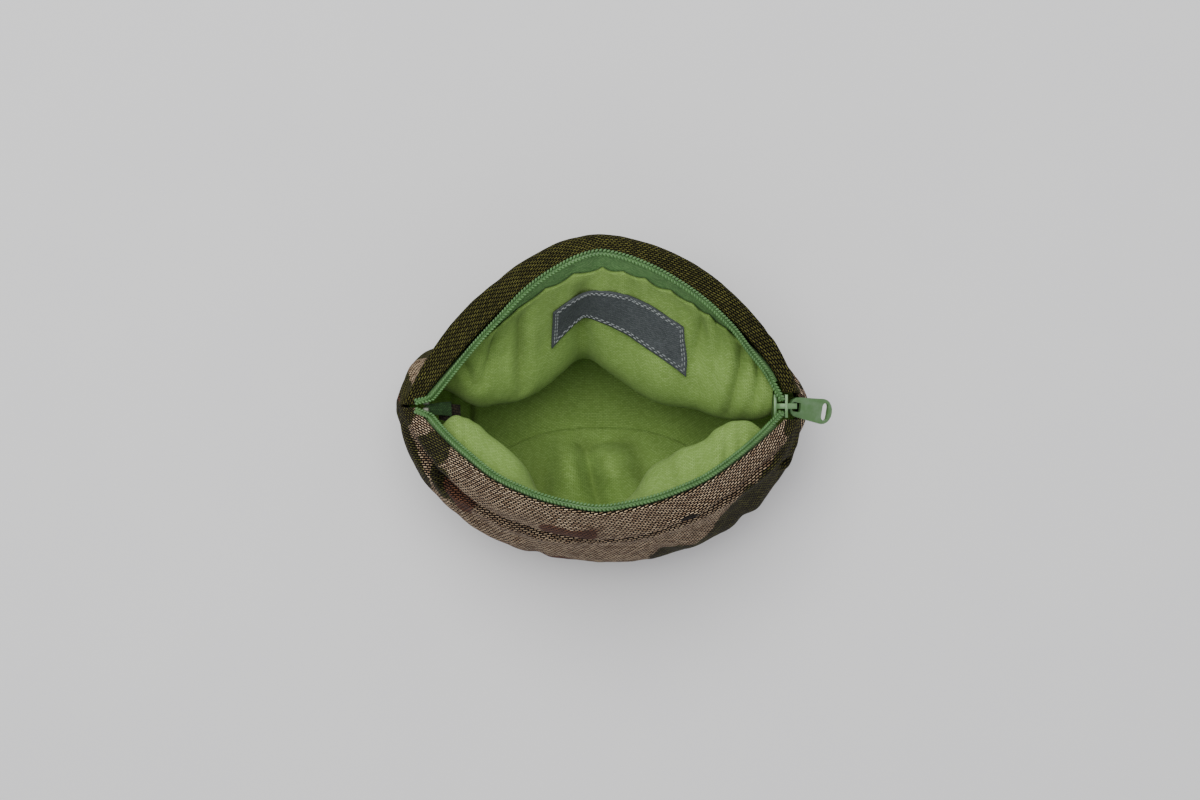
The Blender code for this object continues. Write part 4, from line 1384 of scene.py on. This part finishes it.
class Zip:
    """The zip: two woven tapes, two wound nylon coils, the slider, its pull tab and the two end stops."""

    def __init__(self, shape: PouchShape, sizes: ZipSizes, nodes: dict[str, Object]) -> None:
        """Keeps the shape, the sizes and the CAD nodes."""
        self.shape = shape
        self.sizes = sizes
        self.nodes = nodes

    def build(self) -> None:
        """Builds every piece of the zip."""
        woven, nylon = ZIP_TAPE.build(), ZIP_NYLON.build()
        paint, pale = GREEN_PAINT.build(), STOP_METAL.build()
        for side in Side:
            self.tape(side, woven)
            self.coil(side, nylon)
            name = side.name.lower()
            self.hard_piece(f"stop_{name}", f"zip_stop_{name}", "pouch", pale)
        self.hard_piece("slider", "zip_slider", "pouch", paint)
        self.hard_piece("pull_tab", "zip_pull", "pull", paint)

    def tape(self, side: Side, finish: Material) -> None:
        """Builds the tape inside one edge of the mouth.

        Args:
            side: The front or the back.
            finish: Its material.
        """
        sizes, body = self.sizes, self.shape.sizes
        a, share = grid_places(-sizes.tape_end, sizes.tape_end, sizes.tape_columns, sizes.tape_rows)
        down = share * np.minimum(body.tape_depth / self.shape.faces[side].length(a), 0.3)
        outer = self.shape.below_face(side, a, down, body.tape_under, True)
        inner = self.shape.below_face(side, a, down, body.tape_under + body.tape, True)
        for grid in (outer, inner):
            grid[:, 0] += unit(grid[:, 0] - grid[:, 1]) * sizes.tape_rise
        name = side.name.lower()
        piece = cloth_piece(f"zip_tape_{name}", inner, outer, finish)
        finished_sheet(piece, f"tape_{name}")

    def coil_line(self, side: Side, lower: float = 0.0) -> Array:
        """The middle line of a coil, or one below it, from its stop to the throat of the slider.

        Args:
            side: The front or the back.
            lower: How far the line lies below the middle one, in metres.

        Returns:
            Points along the line.
        """
        sizes, body, liner = self.sizes, self.shape.sizes, self.shape.liners[side]
        along = np.linspace(-sizes.coil_end, sizes.coil_end, sizes.coil_points)
        zero = np.zeros(along.shape)
        point = liner.read(liner.points, along, zero)
        below = liner.read(liner.points, along, zero + 0.03)
        out = side.value * liner.read(liner.normals, along, zero)
        line = unit(np.gradient(point, axis=0))
        up = point - below
        up = unit(up - (up * line).sum(axis=1, keepdims=True) * line)
        rise = body.coil_width / 2 + body.gap - lower
        middle = point - out * (body.tape_under + body.tape / 2) + up * rise
        top, line = sizes.slider_height + sizes.slider_length / 2, body.zip_line
        apart = side.value * sizes.coil_apart
        left = (-body.width * sizes.coil_left, line + apart * sizes.apart_left, body.height * sizes.coil_high)
        above = (sizes.slider_place, line + apart * sizes.apart_above, top + body.coil_width / 2)
        inside = (sizes.slider_place, line + apart, top - sizes.plate)
        return np.array([left, *middle, above, inside])

    def coil(self, side: Side, finish: Material) -> None:
        """Builds a coil: two rows of slanted turns over a core.

        Args:
            side: The front or the back.
            finish: Its material.
        """
        sizes, name = self.sizes, side.name.lower()
        path = self.coil_line(side)
        centres = resampled(path, sizes.pitch)
        tangent = unit(np.gradient(centres, axis=0))
        across = unit(np.cross(tangent, np.array((0.0, 0.0, 1.0))))
        up = unit(np.cross(across, tangent))
        rows = []
        for row in (-1, 1):
            long = unit(tangent * math.cos(sizes.slant) + row * across * math.sin(sizes.slant))
            wide = unit(np.cross(up, long))
            frames = np.stack([long, wide, up], axis=1)
            shape = bead(sizes.turn_long, sizes.turn_wide, sizes.turn_high)
            places = centres + across * sizes.row_apart * row + up * sizes.row_lift
            rows.append(repeated(f"coil_row_{name}_{row}", shape, places, frames, finish))
        core = self.core(f"coil_core_{name}", self.coil_line(side, sizes.core_drop), finish)
        piece = joined(rows[0], rows[1], core)
        piece.name = f"zip_coil_{name}"
        finished(piece, "pouch", f"coil_{name}")

    def core(self, name: str, path: Array, finish: Material) -> Object:
        """A round closed tube along a line, as the filler inside a coil.

        Args:
            name: Name of the tube.
            path: Points along its middle line.
            finish: Its material.

        Returns:
            The tube.
        """
        curve = bpy.data.curves.new(name, "CURVE")
        curve.dimensions = "3D"
        curve.bevel_depth = self.sizes.core / 2
        curve.bevel_resolution = 2
        curve.use_fill_caps = True
        spline = curve.splines.new("POLY")
        spline.points.add(len(path) - 1)
        for place, point in zip(spline.points, path):
            place.co = (*point, 1.0)
        made = bpy.data.objects.new(name, curve)
        bpy.context.scene.collection.objects.link(made)
        choose(made)
        bpy.ops.object.convert(target="MESH")
        made = bpy.context.object
        made.data.materials.clear()
        made.data.materials.append(finish)
        made.data.shade_smooth()
        return made

    def hard_piece(self, node: str, name: str, body: str, finish: Material) -> None:
        """Rounds the edges of a copy of a hard CAD node and gives it its finish.

        Args:
            node: The CAD node.
            name: Name of the new piece.
            body: The body that it rides on.
            finish: Its material.
        """
        made = bpy.data.objects.new(name, self.nodes[node].data.copy())
        made.data.name = name
        bpy.context.scene.collection.objects.link(made)
        choose(made)
        bpy.ops.mesh.customdata_custom_splitnormals_clear()
        shape = bmesh.new()
        shape.from_mesh(made.data)
        bmesh.ops.remove_doubles(shape, verts=shape.verts, dist=0.000002)
        bmesh.ops.dissolve_limit(shape, angle_limit=math.radians(2), verts=shape.verts, edges=shape.edges)
        shape.to_mesh(made.data)
        shape.free()
        edge = made.modifiers.new("edges", "BEVEL")
        edge.width = self.sizes.edge_round
        edge.segments = 2
        edge.limit_method = "ANGLE"
        edge.angle_limit = math.radians(35)
        apply_all(made)
        bpy.ops.object.shade_smooth_by_angle(angle=math.radians(40))
        made.data.materials.clear()
        made.data.materials.append(finish)
        finished(made, body, node)


@dataclass(frozen=True)
class LabelSizes:
    """Sizes of the label and of its stitches, in metres. left and right are places along the back lining."""

    thick: float = 0.0008
    off: float = 0.0004
    start: float = 0.0165
    depth: float = 0.0165
    droop: float = 0.0040
    left: float = -0.19
    right: float = 0.32
    columns: int = 130
    rows: int = 34
    stitch_long: float = 0.0016
    stitch_wide: float = 0.00042
    stitch_pitch: float = 0.0022
    insets: tuple[float, ...] = (0.0011, 0.0021)
    smoothings: int = 260


class Label:
    """The bare woven label, sewn on by two rows of stitches and bent over the puffs of the lining."""

    def __init__(self, lining: Lining, sizes: LabelSizes) -> None:
        """Keeps the lining that carries the label, and the sizes."""
        self.lining = lining
        self.sizes = sizes

    def build(self) -> None:
        """Builds the label and its stitches."""
        sizes = self.sizes
        surface = self.lining.seen[Side.BACK]
        liner = self.lining.shape.liners[Side.BACK]
        a, d = grid_places(sizes.left, sizes.right, sizes.columns, sizes.rows)
        start = self.lining.start(Side.BACK, a * 0 + 0.06)
        off = (2 * a - sizes.left - sizes.right) / (sizes.right - sizes.left)
        fall = sizes.start + sizes.droop * off**2 + d * sizes.depth
        share = (fall / liner.length(a) - start) / (1 - start)
        points = surface.read(surface.points, a, share)
        out = surface.read(surface.normals, a, share)
        for _ in range(sizes.smoothings):
            points[1:-1] = (points[:-2] + 2 * points[1:-1] + points[2:]) / 4
        under = points - out * sizes.off
        top = points - out * (sizes.off + sizes.thick)
        piece = cloth_piece("label_ribbon", top, under, LABEL_RIBBON.build())
        flat = Surface(top)
        finished_sheet(piece, "label")
        self.stitches(flat, -out)

    def stitches(self, flat: Surface, normals: Array) -> None:
        """Sews the label on with light thread along all four edges.

        Args:
            flat: The upper side of the label.
            normals: Directions away from that side.
        """
        sizes = self.sizes
        wide, deep = flat.cut()
        centres, frames = [], []
        for inset in sizes.insets:
            left, top = inset / wide * 2 - 1, inset / deep
            corners = [(left, top), (-left, top), (-left, 1 - top), (left, 1 - top), (left, top)]
            for (a0, d0), (a1, d1) in zip(corners, corners[1:]):
                length = math.hypot((a1 - a0) * wide / 2, (d1 - d0) * deep)
                count = max(2, round(length / sizes.stitch_pitch))
                place = (np.arange(count) + 0.5) / count
                along, down = a0 + (a1 - a0) * place, d0 + (d1 - d0) * place
                points = flat.read(flat.points, along, down)
                up = unit(flat.read(normals, along, down))
                step = flat.read(flat.points, along + (a1 - a0) * 0.01, down + (d1 - d0) * 0.01) - points
                forward = unit(step - (step * up).sum(axis=1, keepdims=True) * up)
                centres.append(points)
                frames.append(np.stack([forward, np.cross(up, forward), up], axis=1))
        shape = bead(sizes.stitch_long, sizes.stitch_wide, sizes.stitch_wide, 6, 4)
        points, turns = np.concatenate(centres), np.concatenate(frames)
        piece = repeated("label_stitches", shape, points, turns, GREY_THREAD.build())
        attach(piece, "pouch")
        logging.info("label_stitches: %d faces", len(piece.data.polygons))


@dataclass(frozen=True)
class Flap:
    """A small strip of cloth inside the left zip end. Places and widths are in metres."""

    name: str
    node: str
    slot: str
    start: tuple[float, float, float]
    end: tuple[float, float, float]
    start_width: float
    end_width: float
    thickness: float
    bend: float

    def build(self, finish: Material) -> None:
        """Builds the strip, bent across its length, with soft waves."""
        way = np.linspace(0, 1, 41)[:, None, None]
        across = np.linspace(-1, 1, 31)[None, :, None]
        start, end = np.array(self.start), np.array(self.end)
        up = np.array((0.0, 0.0, 1.0))
        width = self.start_width + (self.end_width - self.start_width) * way
        grid = start + (end - start) * way + up * self.bend * np.sin(math.pi * way)
        grid = grid + np.array((0.0, 1.0, 0.0)) * across * width / 2 - up * self.bend * across**2
        normals = Surface(grid).normals
        grid = grid + normals * 0.0002 * np.sin(way * 9 + across * 2)
        under = grid - normals * self.thickness
        piece = cloth_piece(self.name, grid, under, finish)
        finished(piece, "pouch", self.node)


class EndPieces:
    """The tape tails and the woven end tab inside the left end of the mouth."""

    def __init__(self, sizes: PouchSizes) -> None:
        """Works out both strips from the sizes of the pouch."""
        left, rise, line = -sizes.width / 2, sizes.height * 0.59, sizes.zip_line
        self.tails = Flap(
            "zip_tape_tails", "zip_tails", "zip_tape", start=(left * 0.86, line - 0.001, rise - 0.0022),
            end=(left * 0.74, line - 0.001, rise - 0.0082), start_width=0.0035, end_width=0.0055,
            thickness=sizes.tape, bend=0.0008,
        )
        self.tab = Flap(
            "woven_end_tab", "end_tab", "olive_cloth", start=(left * 0.80, line - 0.002, rise - 0.0077),
            end=(left * 0.70, line - 0.003, rise - 0.0126), start_width=0.0060, end_width=0.0070,
            thickness=sizes.cloth, bend=0.0006,
        )

    def build(self) -> None:
        """Builds both strips, darker than the cloth and tape around them; the tails' darker green is painted
        shade.
        """
        self.tails.build(SHADED_TAPE_TAILS.build())
        self.tab.build(DARK_CANVAS.build())


@dataclass(frozen=True)
class StudioSizes:
    """Camera, light and floor of the picture. Lengths are in metres."""

    camera_height: float = 0.660
    camera_depth: float = -0.005
    lens: float = 50.0
    sensor: float = 36.0
    floor: float = 6.0
    light_size: float = 1.1
    light_power: float = 14.4
    light_place: tuple[float, float, float] = (-0.15, 0.35, 1.25)
    sky: float = 0.58


class Studio:
    """A plain pale surface under soft light, seen from straight above."""

    def __init__(self, sizes: StudioSizes) -> None:
        """Keeps the sizes."""
        self.sizes = sizes

    def build(self) -> None:
        """Builds the floor, the light, the sky and the camera."""
        self.floor()
        self.light()
        self.camera()

    def floor(self) -> None:
        """A large pale floor with a faint mottle."""
        deselect()
        bpy.ops.mesh.primitive_plane_add(size=self.sizes.floor, location=(0, 0, 0))
        floor = bpy.context.object
        floor.name = "floor"
        floor.data.materials.append(PALE_BOARD.build())

    def light(self) -> None:
        """One large soft light above and a soft sky."""
        lamp = bpy.data.lights.new("soft_light", "AREA")
        lamp.shape = "DISK"
        lamp.size = self.sizes.light_size
        lamp.energy = self.sizes.light_power
        holder = bpy.data.objects.new("soft_light", lamp)
        holder.location = self.sizes.light_place
        holder.rotation_euler = Vector(self.sizes.light_place).to_track_quat("Z", "Y").to_euler()
        bpy.context.scene.collection.objects.link(holder)
        world = bpy.data.worlds.new("soft_sky")
        world.use_nodes = True
        sky = world.node_tree.nodes["Background"]
        sky.inputs["Color"].default_value = linear("#f4f6ff")
        sky.inputs["Strength"].default_value = self.sizes.sky
        bpy.context.scene.world = world

    def camera(self) -> None:
        """The camera, straight above and a little toward the front."""
        lens = bpy.data.cameras.new("camera")
        lens.lens = self.sizes.lens
        lens.sensor_width = self.sizes.sensor
        lens.clip_start = 0.01
        holder = bpy.data.objects.new("camera", lens)
        holder.location = (0.0, self.sizes.camera_depth, self.sizes.camera_height)
        bpy.context.scene.collection.objects.link(holder)
        bpy.context.scene.camera = holder


def main() -> None:
    """Builds the look of the pouch around its CAD part."""
    logging.basicConfig(level=logging.INFO, format="%(message)s")
    for thing in list(bpy.data.objects):
        bpy.data.objects.remove(thing, do_unlink=True)
    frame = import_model()
    Studio(StudioSizes()).build()
    shape = PouchShape(PouchSizes())
    OuterCloth(shape, ClothSizes()).build()
    lining = Lining(shape, LiningSizes())
    lining.build()
    Zip(shape, ZipSizes(), frame["nodes"]).build()
    Label(lining, LabelSizes()).build()
    EndPieces(shape.sizes).build()


if __name__ == "__main__":
    main()
